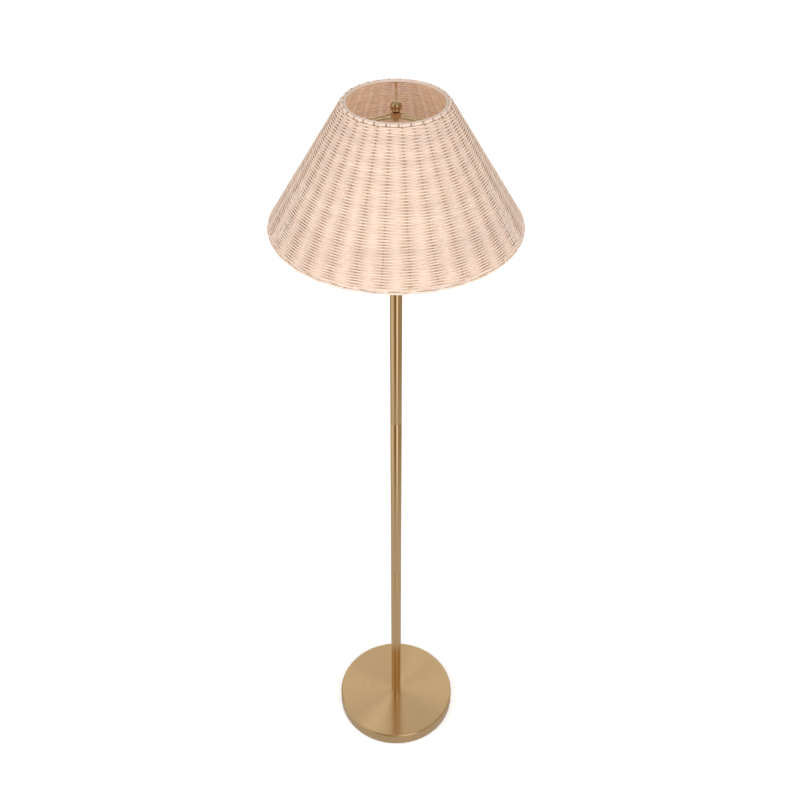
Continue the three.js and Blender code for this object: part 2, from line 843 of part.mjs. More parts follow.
function addSpider() {
  addMesh(lamp, "spider_hub", spiderHub(), "brass");
  armNames.forEach((name, index) => {
    const arm = addMesh(lamp, name, spiderArm(), "brass");
    arm.rotation.z = armAngle(index);
    arm.position.z = armHeight;
  });
  addMesh(lamp, "top_ring", hoop(ringCentreRadius, ringCentreHeight, topRingRadius), "coatedSteel");
}

function hoop(radius, height, thickness) {
  const profile = arc(thickness, [radius, height], 0, fullTurn, hoopSides).slice(0, -1);
  return turned(profile, rimSegments);
}

// The shade's wall leans inwards: its outer and inner radius at a height.
function wallRadius(height, outside = false) {
  const share = (height - shadeBottom) / shadeHeight;
  const outer = shadeBottomRadius + (shadeTopRadius - shadeBottomRadius) * share;
  return outside ? outer : outer - shadeWall / Math.cos(shadeSlope);
}

// The woven wall is thick along each stake and dips between the stakes. The angle
// runs from the front, which lies midway between two stakes.
function shadeWeave() {
  const bottom = shadeBottom + bottomBorderHeight + looseGap;
  const top = rimHeight - topBorderHeight - looseGap;
  const outside = [bottom, top].map((height) => [wallRadius(height, true), height]);
  const inside = [top, bottom].map((height) => [wallRadius(height), height]);
  const geometry = turned([...outside, ...inside], stakes * ribSteps);
  const place = geometry.attributes.position;
  const ringPoints = outside.length + inside.length + 1;
  for (let i = 0; i < place.count; i += 1) {
    const sign = i % ringPoints < outside.length || i % ringPoints === ringPoints - 1 ? -1 : 1;
    const angle = Math.atan2(place.getX(i), -place.getY(i));
    const dip = (weaveDip * (1 + Math.cos(stakes * angle))) / 2;
    const radius = Math.hypot(place.getX(i), place.getY(i));
    const scale = (radius + (sign * dip) / Math.cos(shadeSlope)) / radius;
    place.setX(i, place.getX(i) * scale);
    place.setY(i, place.getY(i) * scale);
  }
  return geometry;
}

// A border follows the leaning wall, with its free edge rounded.
function borderProfile(bottom, top, roundTop) {
  const round = shadeWall / 4;
  const edge = roundTop ? top : bottom;
  const step = roundTop ? -round : round;
  const rounded = [
    [wallRadius(edge + step, true), edge + step],
    [wallRadius(edge, true) - round, edge],
    [wallRadius(edge) + round, edge],
    [wallRadius(edge + step), edge + step],
  ];
  if (roundTop) {
    return [...rounded, [wallRadius(bottom), bottom], [wallRadius(bottom, true), bottom]];
  }
  return [...rounded.reverse(), [wallRadius(top, true), top], [wallRadius(top), top]];
}

function addShade() {
  addMesh(lamp, "shade_weave", shadeWeave(), "rattan");
  const topBorder = borderProfile(rimHeight - topBorderHeight, rimHeight, true);
  addMesh(lamp, "top_border", turned(topBorder, rimSegments), "rattanBorder");
  const bottomBorder = borderProfile(shadeBottom, shadeBottom + bottomBorderHeight, false);
  addMesh(lamp, "bottom_border", turned(bottomBorder, rimSegments), "rattanBorder");
  const height = shadeBottom + bottomBorderHeight / 2;
  const radius = wallRadius(height) - bottomRingRadius / Math.cos(shadeSlope) - looseGap;
  addMesh(lamp, "bottom_ring", hoop(radius, height, bottomRingRadius), "coatedSteel");
}

// The finial: a ball with a flat foot and a blind hole for the stud.
function addFinial() {
  const bottom = hubTop + looseGap;
  const foot = Math.asin(finialFootRadius / finialRadius);
  const centre = bottom + finialRadius * Math.cos(foot);
  const hole = studRadius + fitGap;
  const holeTop = hubTop + studReach + looseGap;
  const ball = arc(finialRadius, [0, centre], foot - quarterTurn, quarterTurn, ballSteps);
  ball[ball.length - 1][0] = 0;
  const profile = [[0, holeTop], [hole, holeTop], [hole, bottom], ...ball];
  addMesh(lamp, "finial", turned(profile, turnedSegments), "brass");
}

addBase();
addPole();
addHarp();
addSocket();
addSwitch();
addBulb();
addSpider();
addShade();
addFinial();

export default lamp;
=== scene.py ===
import math

import bmesh
import bpy
import numpy as np
from mathutils import Matrix, Vector


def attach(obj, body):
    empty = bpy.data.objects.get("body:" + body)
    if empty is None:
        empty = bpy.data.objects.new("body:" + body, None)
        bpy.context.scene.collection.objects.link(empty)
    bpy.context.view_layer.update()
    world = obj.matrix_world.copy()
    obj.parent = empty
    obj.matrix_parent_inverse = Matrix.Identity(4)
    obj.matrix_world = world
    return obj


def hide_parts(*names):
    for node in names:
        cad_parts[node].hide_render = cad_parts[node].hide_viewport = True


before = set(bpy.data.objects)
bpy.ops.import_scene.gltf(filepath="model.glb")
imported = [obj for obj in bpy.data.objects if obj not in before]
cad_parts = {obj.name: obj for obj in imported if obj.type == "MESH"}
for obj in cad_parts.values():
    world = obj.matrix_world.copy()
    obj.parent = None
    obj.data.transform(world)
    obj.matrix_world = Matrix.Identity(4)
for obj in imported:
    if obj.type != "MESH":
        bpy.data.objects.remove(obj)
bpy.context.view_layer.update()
scene = bpy.context.scene
draw = np.random.default_rng(41)

MM = 0.001
TURN = math.tau

# Sizes and heights over the floor in millimetres, as in the part
RIM_HEIGHT = 1501
SHADE_BOTTOM = 1294
SHADE_BOTTOM_RADIUS = 207.5
SHADE_TOP_RADIUS = 83.4
WALL_MIDDLE = 2.5  # from the wall's outer face to its middle
STAKES = 30
SLANT = math.atan2(SHADE_BOTTOM_RADIUS - SHADE_TOP_RADIUS, RIM_HEIGHT - SHADE_BOTTOM)
BASE_RADIUS = 130
BASE_TOP = 33
COVER_WALL = 1.2
PAD_TOP = 3
CORD_HEIGHT = 11
NIPPLE_HOLE = 5.2  # radius
POLE_RADIUS = 11
POLE_BORE = 9.8  # radius
SECTION = 419.333  # length of each of the pole's three tubes
POLE_TOP = 1291
POST_X = 31
SADDLE_SEAT = 1298.5
SADDLE_TOP = 1300.1
FERRULE_FOOT = 1303.4
LEG_FOOT = 1311.4
LEG_TOP = 1329.4
HARP_HALF_WIDTH = 57
HARP_WIRE_RADIUS = 1.9
WIRE_TOP = 1472.4
STEM_AXIS = 1327.1
HUB_SEAT = 1476.5
HUB_TOP = 1483
ARM_HEIGHT = 1481
ARM_RADIUS = 1.5
TOP_RING = (76.6, 1498.6, 2.1)  # radius, height, half thickness
BOTTOM_RING = (196.35, 1298.5, 1.9)
STUD_PITCH = 0.94
LAMP_CAP_PITCH = 3.63


# Shader helpers

def node(tree, kind, **settings):
    made = tree.nodes.new(kind)
    for key, value in settings.items():
        setattr(made, key, value)
    return made


def link(tree, source, target):
    tree.links.new(source, target)


def feed(tree, value, socket):
    """Sets a number or a colour on the socket, and links anything else to it."""
    if isinstance(value, (int, float)):
        socket.default_value = value
    elif isinstance(value, tuple):
        socket.default_value = (*value, 1)
    else:
        link(tree, value, socket)


def new_group(name, inputs, outputs):
    """A node group with a vector input, float inputs {name: value} and float outputs [name]."""
    tree = bpy.data.node_groups.new(name, "ShaderNodeTree")
    tree.interface.new_socket(name="Vector", in_out="INPUT", socket_type="NodeSocketVector")
    for key, value in inputs.items():
        socket = tree.interface.new_socket(name=key, in_out="INPUT", socket_type="NodeSocketFloat")
        socket.default_value = value
    for key in outputs:
        tree.interface.new_socket(name=key, in_out="OUTPUT", socket_type="NodeSocketFloat")
    return tree, node(tree, "NodeGroupInput"), node(tree, "NodeGroupOutput")


def noise_of(tree, vector, scale, detail=3, rough=0.55):
    made = node(tree, "ShaderNodeTexNoise")
    link(tree, vector, made.inputs["Vector"])
    for key, value in (("Scale", scale), ("Detail", detail), ("Roughness", rough)):
        feed(tree, value, made.inputs[key])
    return made.outputs["Fac"]


def maths(tree, operation, *values):
    made = node(tree, "ShaderNodeMath", operation=operation)
    for socket, value in zip(made.inputs, values):
        feed(tree, value, socket)
    return made.outputs[0]


def weighted(tree, first, second, share):
    """The sum of the first value by its share and the second by the rest."""
    second = maths(tree, "MULTIPLY", second, 1 - share)
    return maths(tree, "ADD", maths(tree, "MULTIPLY", first, share), second)


def spread(tree, value, low, high, to_low=0.0, to_high=1.0):
    """The value eased from one range to another and held beyond its ends."""
    made = node(tree, "ShaderNodeMapRange", interpolation_type="SMOOTHSTEP")
    link(tree, value, made.inputs["Value"])
    ends = (("From Min", low), ("From Max", high), ("To Min", to_low), ("To Max", to_high))
    for key, number in ends:
        feed(tree, number, made.inputs[key])
    return made.outputs["Result"]


def stretched(tree, vector, scale):
    made = node(tree, "ShaderNodeMapping")
    made.inputs["Scale"].default_value = scale
    link(tree, vector, made.inputs["Vector"])
    return made.outputs["Vector"]


def blend_colour(tree, factor, first, second, mode="MIX"):
    made = node(tree, "ShaderNodeMix", data_type="RGBA", blend_type=mode)
    for index, value in ((0, factor), (6, first), (7, second)):  # its sockets for colours
        feed(tree, value, made.inputs[index])
    return made.outputs[2]


def mixed_value(tree, factor, first, second):
    made = node(tree, "ShaderNodeMix", data_type="FLOAT")
    for index, value in ((0, factor), (2, first), (3, second)):  # its sockets for numbers
        feed(tree, value, made.inputs[index])
    return made.outputs[0]


def grey(tree, value):
    made = node(tree, "ShaderNodeCombineColor")
    for socket in made.inputs:
        link(tree, value, socket)
    return made.outputs["Color"]


def attribute(tree, name):
    return node(tree, "ShaderNodeAttribute", attribute_name=name).outputs["Fac"]


def object_place(tree):
    return node(tree, "ShaderNodeTexCoord").outputs["Object"]


def ramp(tree, value, stops):
    made = node(tree, "ShaderNodeValToRGB")
    band = made.color_ramp
    while len(band.elements) < len(stops):
        band.elements.new(0.5)
    for element, (place, colour) in zip(band.elements, stops):
        element.position = place
        element.color = (*colour, 1)
    link(tree, value, made.inputs["Fac"])
    return made.outputs["Color"]


# Effects that several materials share

def fibre_group():
    """Rattan core: long fine fibres along one axis, darker flecks, and the height of the fibres."""
    tree, start, end = new_group("rattan_fibre", {"Fleck": 0.6}, ["Shade", "Fleck", "Height"])
    vector, threshold = start.outputs["Vector"], start.outputs["Fleck"]
    fine = noise_of(tree, vector, 2.6, 4, 0.7)
    broad = noise_of(tree, vector, 0.55, 2)
    spots = noise_of(tree, stretched(tree, vector, (1.7, 1.7, 1.1)), 0.9, 2)
    fleck = spread(tree, spots, threshold, maths(tree, "ADD", threshold, 0.09))
    link(tree, weighted(tree, fine, broad, 0.6), end.inputs["Shade"])
    link(tree, fleck, end.inputs["Fleck"])
    link(tree, fine, end.inputs["Height"])
    return tree


def brushing_group():
    """Fine parallel lines left by a brush, from a vector whose first axis runs across them."""
    tree, start, end = new_group("brushed_lines", {"Spots": 0.7}, ["Shade", "Spots", "Height"])
    vector = start.outputs["Vector"]
    fine = noise_of(tree, vector, 1.0, 5, 0.8)
    wide = noise_of(tree, stretched(tree, vector, (0.12, 0.6, 0.6)), 1.0, 3)
    smudge = noise_of(tree, stretched(tree, vector, (0.01, 1, 1)), 1.3, 4)
    link(tree, weighted(tree, fine, wide, 0.65), end.inputs["Shade"])
    link(tree, spread(tree, smudge, start.outputs["Spots"], 0.95), end.inputs["Spots"])
    link(tree, fine, end.inputs["Height"])
    return tree


def grain_group():
    """Even small grain, as on cast, moulded, pressed or plated surfaces."""
    tree, start, end = new_group("surface_grain", {"Scale": 900.0}, ["Shade", "Height"])
    vector = start.outputs["Vector"]
    fine = noise_of(tree, vector, start.outputs["Scale"], 4, 0.5)
    wide = noise_of(tree, vector, 38, 3)
    link(tree, weighted(tree, fine, wide, 0.5), end.inputs["Shade"])
    link(tree, fine, end.inputs["Height"])
    return tree


FIBRE = fibre_group()
BRUSHING = brushing_group()
GRAIN = grain_group()


def blank_material(name, **sockets):
    made = bpy.data.materials.new(name)
    made.use_nodes = True
    tree = made.node_tree
    shader = tree.nodes["Principled BSDF"]
    for key, value in sockets.items():
        shader.inputs[key.replace("_", " ")].default_value = value
    return made, tree, shader


def bump(tree, shader, height, strength, distance):
    made = node(tree, "ShaderNodeBump")
    made.inputs["Strength"].default_value = strength
    made.inputs["Distance"].default_value = distance
    link(tree, height, made.inputs["Height"])
    link(tree, made.outputs["Normal"], shader.inputs["Normal"])


def use_group(tree, group, vector, **values):
    made = node(tree, "ShaderNodeGroup", node_tree=group)
    link(tree, vector, made.inputs["Vector"])
    for key, value in values.items():
        made.inputs[key].default_value = value
    return made


INNER_SHADE_TINT = (1.0, 0.90, 0.77)  # painted shade on the strands behind the weave's middle: the shade's inner side and the rows seen through the gaps


def rattan(name, tones, fibre_scale, dark, fleck=0.62, hollow_shade=(0.74, 0.455, 0.205)):
    """Rattan with its tone from the mesh's attributes, painted shade on the inner side and in the
    hollows from them too, and fibres and dark flecks along one axis. The fleck's value is the
    threshold over which a fleck shows."""
    made, tree, shader = blank_material(name, Specular_IOR_Level=0.3)
    place = object_place(tree)
    fibre = use_group(tree, FIBRE, stretched(tree, place, fibre_scale), Fleck=fleck)
    patch = maths(tree, "SUBTRACT", noise_of(tree, place, 24, 3), 0.5)
    tone = maths(tree, "ADD", attribute(tree, "tone"), maths(tree, "MULTIPLY", patch, 0.3))
    colour = ramp(tree, tone, tones)
    shade = spread(tree, fibre.outputs["Shade"], 0.3, 0.7, 0.88, 1.04)
    colour = blend_colour(tree, 1.0, colour, grey(tree, shade), "MULTIPLY")
    # Painted shade: the strands behind the weave's middle, and the hollows and grooves between
    # rows, are darkened in colour.
    colour = blend_colour(tree, attribute(tree, "inner_shade"), colour, INNER_SHADE_TINT, "MULTIPLY")
    colour = blend_colour(tree, attribute(tree, "recess_shade"), colour, hollow_shade, "MULTIPLY")
    colour = blend_colour(tree, maths(tree, "MULTIPLY", fibre.outputs["Fleck"], 0.5), colour, dark)
    link(tree, colour, shader.inputs["Base Color"])
    roughness = spread(tree, fibre.outputs["Shade"], 0.2, 0.8, 0.38, 0.55)
    link(tree, roughness, shader.inputs["Roughness"])
    bump(tree, shader, fibre.outputs["Height"], 0.25, 0.0003)
    return made


def around_axis(tree, place, across, along):
    """A vector for circles round the axis. Its first part, distance from the axis plus height, runs
    across them on a face and on a tube, and the others vary slowly along them."""
    parts = node(tree, "ShaderNodeSeparateXYZ")
    link(tree, place, parts.inputs[0])
    x, y, z = parts.outputs
    square = maths(tree, "ADD", maths(tree, "MULTIPLY", x, x), maths(tree, "MULTIPLY", y, y))
    both = maths(tree, "ADD", maths(tree, "SQRT", square), z)
    vector = node(tree, "ShaderNodeCombineXYZ")
    for socket, value, scale in zip(vector.inputs, (both, x, y), (across, along, along)):
        link(tree, maths(tree, "MULTIPLY", value, scale), socket)
    return vector.outputs[0]


def brushed_brass(name, colour, dull, roughness, across, along, anisotropic, strength):
    """Brass brushed in circles round the lamp's axis, which spread its highlights across them."""
    made, tree, shader = blank_material(
        name, Metallic=1.0, Anisotropic=anisotropic, Anisotropic_Rotation=0.25
    )
    lines = use_group(tree, BRUSHING, around_axis(tree, object_place(tree), across, along))
    shade = spread(tree, lines.outputs["Shade"], 0.25, 0.75)
    mixed = blend_colour(tree, shade, dull, colour)
    mixed = blend_colour(tree, maths(tree, "MULTIPLY", lines.outputs["Spots"], 0.35), mixed, dull)
    link(tree, mixed, shader.inputs["Base Color"])
    varied = spread(tree, lines.outputs["Shade"], 0.2, 0.8, *roughness)
    link(tree, varied, shader.inputs["Roughness"])
    tangent = node(tree, "ShaderNodeTangent", direction_type="RADIAL", axis="Z")
    link(tree, tangent.outputs[0], shader.inputs["Tangent"])
    bump(tree, shader, lines.outputs["Height"], strength, 0.0001)
    return made


def plain_finish(name, colour, other, metallic, roughness, scale, strength, **sockets):
    """An even finish: two close colours, a varying roughness and a small grain."""
    made, tree, shader = blank_material(name, Metallic=metallic, **sockets)
    grain = use_group(tree, GRAIN, object_place(tree), Scale=scale)
    mixed = blend_colour(tree, spread(tree, grain.outputs["Shade"], 0.35, 0.65), colour, other)
    link(tree, mixed, shader.inputs["Base Color"])
    varied = spread(tree, grain.outputs["Shade"], 0.3, 0.7, *roughness)
    link(tree, varied, shader.inputs["Roughness"])
    bump(tree, shader, grain.outputs["Height"], strength, 0.0002)
    return made


WEFT_TONES = [
    (0.0, (0.83, 0.66, 0.565)),
    (0.3, (0.87, 0.69, 0.58)),
    (0.6, (0.91, 0.725, 0.60)),
    (1.0, (0.925, 0.76, 0.63)),
]
# The stakes are a browner reed than the weft, and are coloured darker still as painted shade in the
# gaps where they show between the rows and in the marks where they come up through the rim roll.
STAKE_SHADE_TONES = [(0.0, (0.36, 0.23, 0.14)), (1.0, (0.52, 0.35, 0.23))]
FLECK_BROWN = (0.46, 0.28, 0.16)

# Name, tones, scale of the fibres by axis, colour and threshold of the flecks, painted shade in the
# hollows
rattan_weft = rattan("rattan_weft", WEFT_TONES, (45, 45, 900), FLECK_BROWN)
rattan_stake = rattan("rattan_stake", STAKE_SHADE_TONES, (700, 700, 60), (0.30, 0.18, 0.10))
rattan_border = rattan(
    "rattan_border", WEFT_TONES, (60, 60, 700), FLECK_BROWN, 0.64, (0.42, 0.29, 0.20)
)

# Name, colour, dull colour, roughness, scales across and along the lines, anisotropy, depth
BRASS = (0.80, 0.555, 0.295)
base_brass = brushed_brass(
    "base_brass", BRASS, (0.73, 0.50, 0.26), (0.21, 0.25), 2600, 18, 1.0, 0.02
)
pole_brass = brushed_brass(
    "pole_brass", BRASS, (0.77, 0.53, 0.28), (0.16, 0.19), 2600, 40, 0.3, 0.002
)
turned_brass = brushed_brass(
    "turned_brass", (0.78, 0.54, 0.30), (0.66, 0.44, 0.235), (0.18, 0.26), 3500, 80, 0.5, 0.04
)
polished_brass = brushed_brass(
    "polished_brass", (0.60, 0.415, 0.21), (0.55, 0.38, 0.19), (0.05, 0.07), 3500, 80, 0.2, 0.005
)

# Name, two colours, metallic, roughness, scale and depth of the grain
coated_wire = plain_finish(
    "coated_wire", (0.68, 0.53, 0.43), (0.76, 0.61, 0.51), 0.0, (0.5, 0.65), 1500, 0.1,
    Specular_IOR_Level=0.3,
)
drawn_brass = plain_finish(
    "drawn_brass", (0.72, 0.55, 0.31), (0.80, 0.64, 0.40), 1.0, (0.2, 0.32), 2600, 0.05
)
socket_brass = plain_finish(
    "socket_brass", (0.60, 0.43, 0.22), (0.68, 0.50, 0.28), 1.0, (0.2, 0.34), 1200, 0.04,
    Coat_Weight=0.3,
)
zinc_steel = plain_finish(
    "zinc_steel", (0.52, 0.52, 0.51), (0.66, 0.65, 0.62), 1.0, (0.3, 0.5), 700, 0.08
)
cap_aluminium = plain_finish(
    "cap_aluminium", (0.66, 0.66, 0.66), (0.78, 0.78, 0.77), 1.0, (0.25, 0.4), 1600, 0.05
)
cast_concrete = plain_finish(
    "cast_concrete", (0.30, 0.29, 0.27), (0.44, 0.43, 0.40), 0.0, (0.8, 1.0), 420, 0.6
)
black_felt = plain_finish(
    "black_felt", (0.018, 0.016, 0.014), (0.045, 0.04, 0.036), 0.0, (0.9, 1.0), 1700, 0.8,
    Sheen_Weight=0.4,
)
black_plastic = plain_finish(
    "black_plastic", (0.012, 0.012, 0.012), (0.025, 0.024, 0.023), 0.0, (0.35, 0.5), 1400, 0.12
)
phenolic = plain_finish(
    "phenolic", (0.035, 0.018, 0.012), (0.06, 0.032, 0.022), 0.0, (0.25, 0.4), 800, 0.06
)
card_board = plain_finish(
    "card_board", (0.33, 0.21, 0.12), (0.45, 0.31, 0.19), 0.0, (0.85, 1.0), 900, 0.5
)
frosted_glass = plain_finish(
    "frosted_glass", (0.86, 0.85, 0.82), (0.93, 0.92, 0.89), 0.0, (0.3, 0.42), 1200, 0.03,
    Coat_Weight=0.4,
)


# Making pieces

def add_object(name, data):
    made = bpy.data.objects.new(name, data)
    scene.collection.objects.link(made)
    return made


def mesh_of(bm, name):
    mesh = bpy.data.meshes.new(name)
    bm.to_mesh(mesh)
    bm.free()
    return mesh


def take_mesh(bm, mesh):
    """Adds a mesh to a bmesh and removes the mesh."""
    bm.from_mesh(mesh)
    bpy.data.meshes.remove(mesh)
    return bm


def evaluated_mesh(holder):
    graph = bpy.context.evaluated_depsgraph_get()
    return bpy.data.meshes.new_from_object(holder.evaluated_get(graph))


def piece(name, shape, body, slot, material, *nodes, sharp=38):
    """A piece from a bmesh or a mesh. Edges over the sharp angle, in degrees, stay hard."""
    if isinstance(shape, bmesh.types.BMesh):
        mesh = mesh_of(shape, name)
    else:
        mesh = shape
        mesh.name = name
    made = add_object(name, mesh)
    mesh.materials.clear()
    mesh.materials.append(material)
    mesh.shade_smooth()
    mesh.set_sharp_from_angle(angle=math.radians(sharp))
    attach(made, body)
    if nodes:
        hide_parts(*nodes)


def rounded(points, steps):
    """An outline of (radius, height, fillet) points, with an arc in steps at each fillet."""
    outline = []
    for i, point in enumerate(points):
        corner = Vector(point[:2])
        if len(point) < 3:
            outline.append(corner)
            continue
        before = (Vector(points[i - 1][:2]) - corner).normalized()
        after = (Vector(points[(i + 1) % len(points)][:2]) - corner).normalized()
        half = before.angle(after) / 2
        centre = corner + (before + after).normalized() * (point[2] / math.sin(half))
        reach = point[2] / math.tan(half)
        start, end = corner + before * reach - centre, corner + after * reach - centre
        arc = [start.slerp(end, k / steps).normalized() * start.length for k in range(steps + 1)]
        outline += [centre + spoke for spoke in arc]
    return outline


def tidy(bm):
    bmesh.ops.remove_doubles(bm, verts=bm.verts, dist=1e-6)
    bmesh.ops.recalc_face_normals(bm, faces=bm.faces)
    return bm


def spin_round(bm, geom, steps):
    bmesh.ops.spin(
        bm, geom=geom, cent=(0, 0, 0), axis=(0, 0, 1), angle=TURN, steps=steps, use_merge=True
    )


def spun(points, segments, steps=5):
    """A solid turned round the lamp's axis. An outline that starts on the axis ends on it too."""
    bm = bmesh.new()
    verts = [bm.verts.new((p.x * MM, 0, p.y * MM)) for p in rounded(points, steps)]
    pairs = list(zip(verts, verts[1:]))
    if points[0][0] > 0:
        pairs.append((verts[-1], verts[0]))
    edges = [bm.edges.new(pair) for pair in pairs]
    spin_round(bm, verts + edges, segments)
    return tidy(bm)


def wires(name, lines, radius, resolution):
    """Round wires along lists of points in millimetres."""
    curve = bpy.data.curves.new(name, "CURVE")
    curve.dimensions = "3D"
    curve.bevel_depth = radius * MM
    curve.bevel_resolution = resolution
    curve.use_fill_caps = True
    for line in lines:
        spline = curve.splines.new("POLY")
        spline.points.add(len(line) - 1)
        for point, (x, y, z) in zip(spline.points, line):
            point.co = (x * MM, y * MM, z * MM, 1)
    holder = add_object(name, curve)
    mesh = evaluated_mesh(holder)
    bpy.data.objects.remove(holder)
    bpy.data.curves.remove(curve)
    return tidy(take_mesh(bmesh.new(), mesh))


def joined(*parts):
    """Several bmeshes as one."""
    whole = bmesh.new()
    for part in parts:
        take_mesh(whole, mesh_of(part, "part"))
    return whole


def drilled(bm, drill):
    """The first solid with the second one cut out of it."""
    solid = add_object("drilled", mesh_of(bm, "drilled"))
    tool = add_object("drill", mesh_of(drill, "drill"))
    cut = solid.modifiers.new("cut", "BOOLEAN")
    cut.operation = "DIFFERENCE"
    cut.solver = "EXACT"
    cut.object = tool
    whole = take_mesh(bmesh.new(), evaluated_mesh(solid))
    for holder in (solid, tool):
        bpy.data.meshes.remove(holder.data)  # its object goes with it
    return tidy(whole)


def moved(bm, matrix):
    bmesh.ops.transform(bm, matrix=matrix, verts=bm.verts)
    return bm


def shift(x=0.0, y=0.0, z=0.0):
    return Matrix.Translation((x * MM, y * MM, z * MM))


def turn(degrees, axis):
    return Matrix.Rotation(math.radians(degrees), 4, axis)


# The woven shade

def wall_place(along, off):
    """Radius and height of a place so far up the leaning wall and so far out from its middle."""
    out = off - WALL_MIDDLE
    radius = SHADE_BOTTOM_RADIUS + out * math.cos(SLANT) - along * math.sin(SLANT)
    height = SHADE_BOTTOM + out * math.sin(SLANT) + along * math.cos(SLANT)
    return radius, height


WEFT_START = 8.4  # up the wall
PITCH_LOW = 2.02  # from row to row, at the hem and at the rim
PITCH_HIGH = 2.28
ROWS = 107
SWING = 1.2  # of a strand's middle to each side of the stakes
STRAND_THICK = 1.1  # half sizes of a strand
STRAND_TALL = 1.28
FRONT_PLUMP = 0.17  # by how much it is taller where it passes a stake
BACK_PLUMP = 0.42
GROOVE_SHADE = 0.58  # painted shade between two rows
FLANK_SHADE = 0.06  # painted shade on the side that faces a stake
HOLLOW_SHADE = 0.7  # and in its deepest part, from this share of the thickness on
HOLLOW_START = 0.76
INNER_HOLLOW_SHADE = 0.3  # share of that painted shade on the shade's inner side
STAKE_RADIUS = 0.7
SECTION_SIDES = 6
STEPS_PER_STAKE = 10
STAKE_SPACING = 360 / STAKES
STRAND_LENGTHS = (1500, 5200)  # shortest and longest


def row_places():
    step = np.linspace(PITCH_LOW, PITCH_HIGH, ROWS)
    return WEFT_START + np.concatenate([[0], np.cumsum(step[:-1])])


ROW_ALONG = row_places()
ROW_DEPTH = SWING * (1 + 0.07 * draw.standard_normal((ROWS, STAKES)))
ROW_LIFT = 0.10 * draw.standard_normal((ROWS, STAKES))
ROW_SIZE = 1 + 0.05 * draw.standard_normal(ROWS)
ROW_WANDER = np.cumsum(0.35 * draw.standard_normal((ROWS, 2)), axis=0)


def strand_tones():
    """Where along the spiral of the weft each strand ends, and the strand's tone."""
    ends, tones, place = [], [], 0.0
    total = TURN * SHADE_BOTTOM_RADIUS * ROWS
    while place < total:
        place += draw.uniform(*STRAND_LENGTHS)
        ends.append(place)
        tones.append(float(np.clip(draw.normal(0.56, 0.2), 0, 1)))
    return np.array(ends), np.array(tones)


STRAND_ENDS, STRAND_TONES = strand_tones()
ROW_RADIUS = np.array([wall_place(along, 0)[0] for along in ROW_ALONG])
ROW_TRAVEL = np.concatenate([[0], np.cumsum(TURN * ROW_RADIUS)[:-1]])


def weft_rows(first, last):
    """Rows of weft as closed rings, spun from one section each and then swung round the stakes."""
    bm = bmesh.new()
    layer = bm.verts.layers.int.new("row")
    for row in range(first, last):
        radius, height = wall_place(ROW_ALONG[row], 0)
        thick = STRAND_THICK * ROW_SIZE[row] * MM
        tall = STRAND_TALL * ROW_SIZE[row] * MM
        across = Vector((math.cos(SLANT), 0, math.sin(SLANT))) * thick
        upward = Vector((-math.sin(SLANT), 0, math.cos(SLANT))) * tall
        place = Matrix((
            (across.x, upward.x, 0, radius * MM),
            (0, 0, -MM, 0),
            (across.z, upward.z, 0, height * MM),
            (0, 0, 0, 1),
        ))
        made = bmesh.ops.create_circle(bm, segments=SECTION_SIDES, radius=1, matrix=place)
        for vert in made["verts"]:
            vert[layer] = row
    spin_round(bm, bm.verts[:] + bm.edges[:], STAKES * STEPS_PER_STAKE)
    bmesh.ops.recalc_face_normals(bm, faces=bm.faces)
    mesh = mesh_of(bm, "weft")
    swing_round_stakes(mesh)
    return mesh


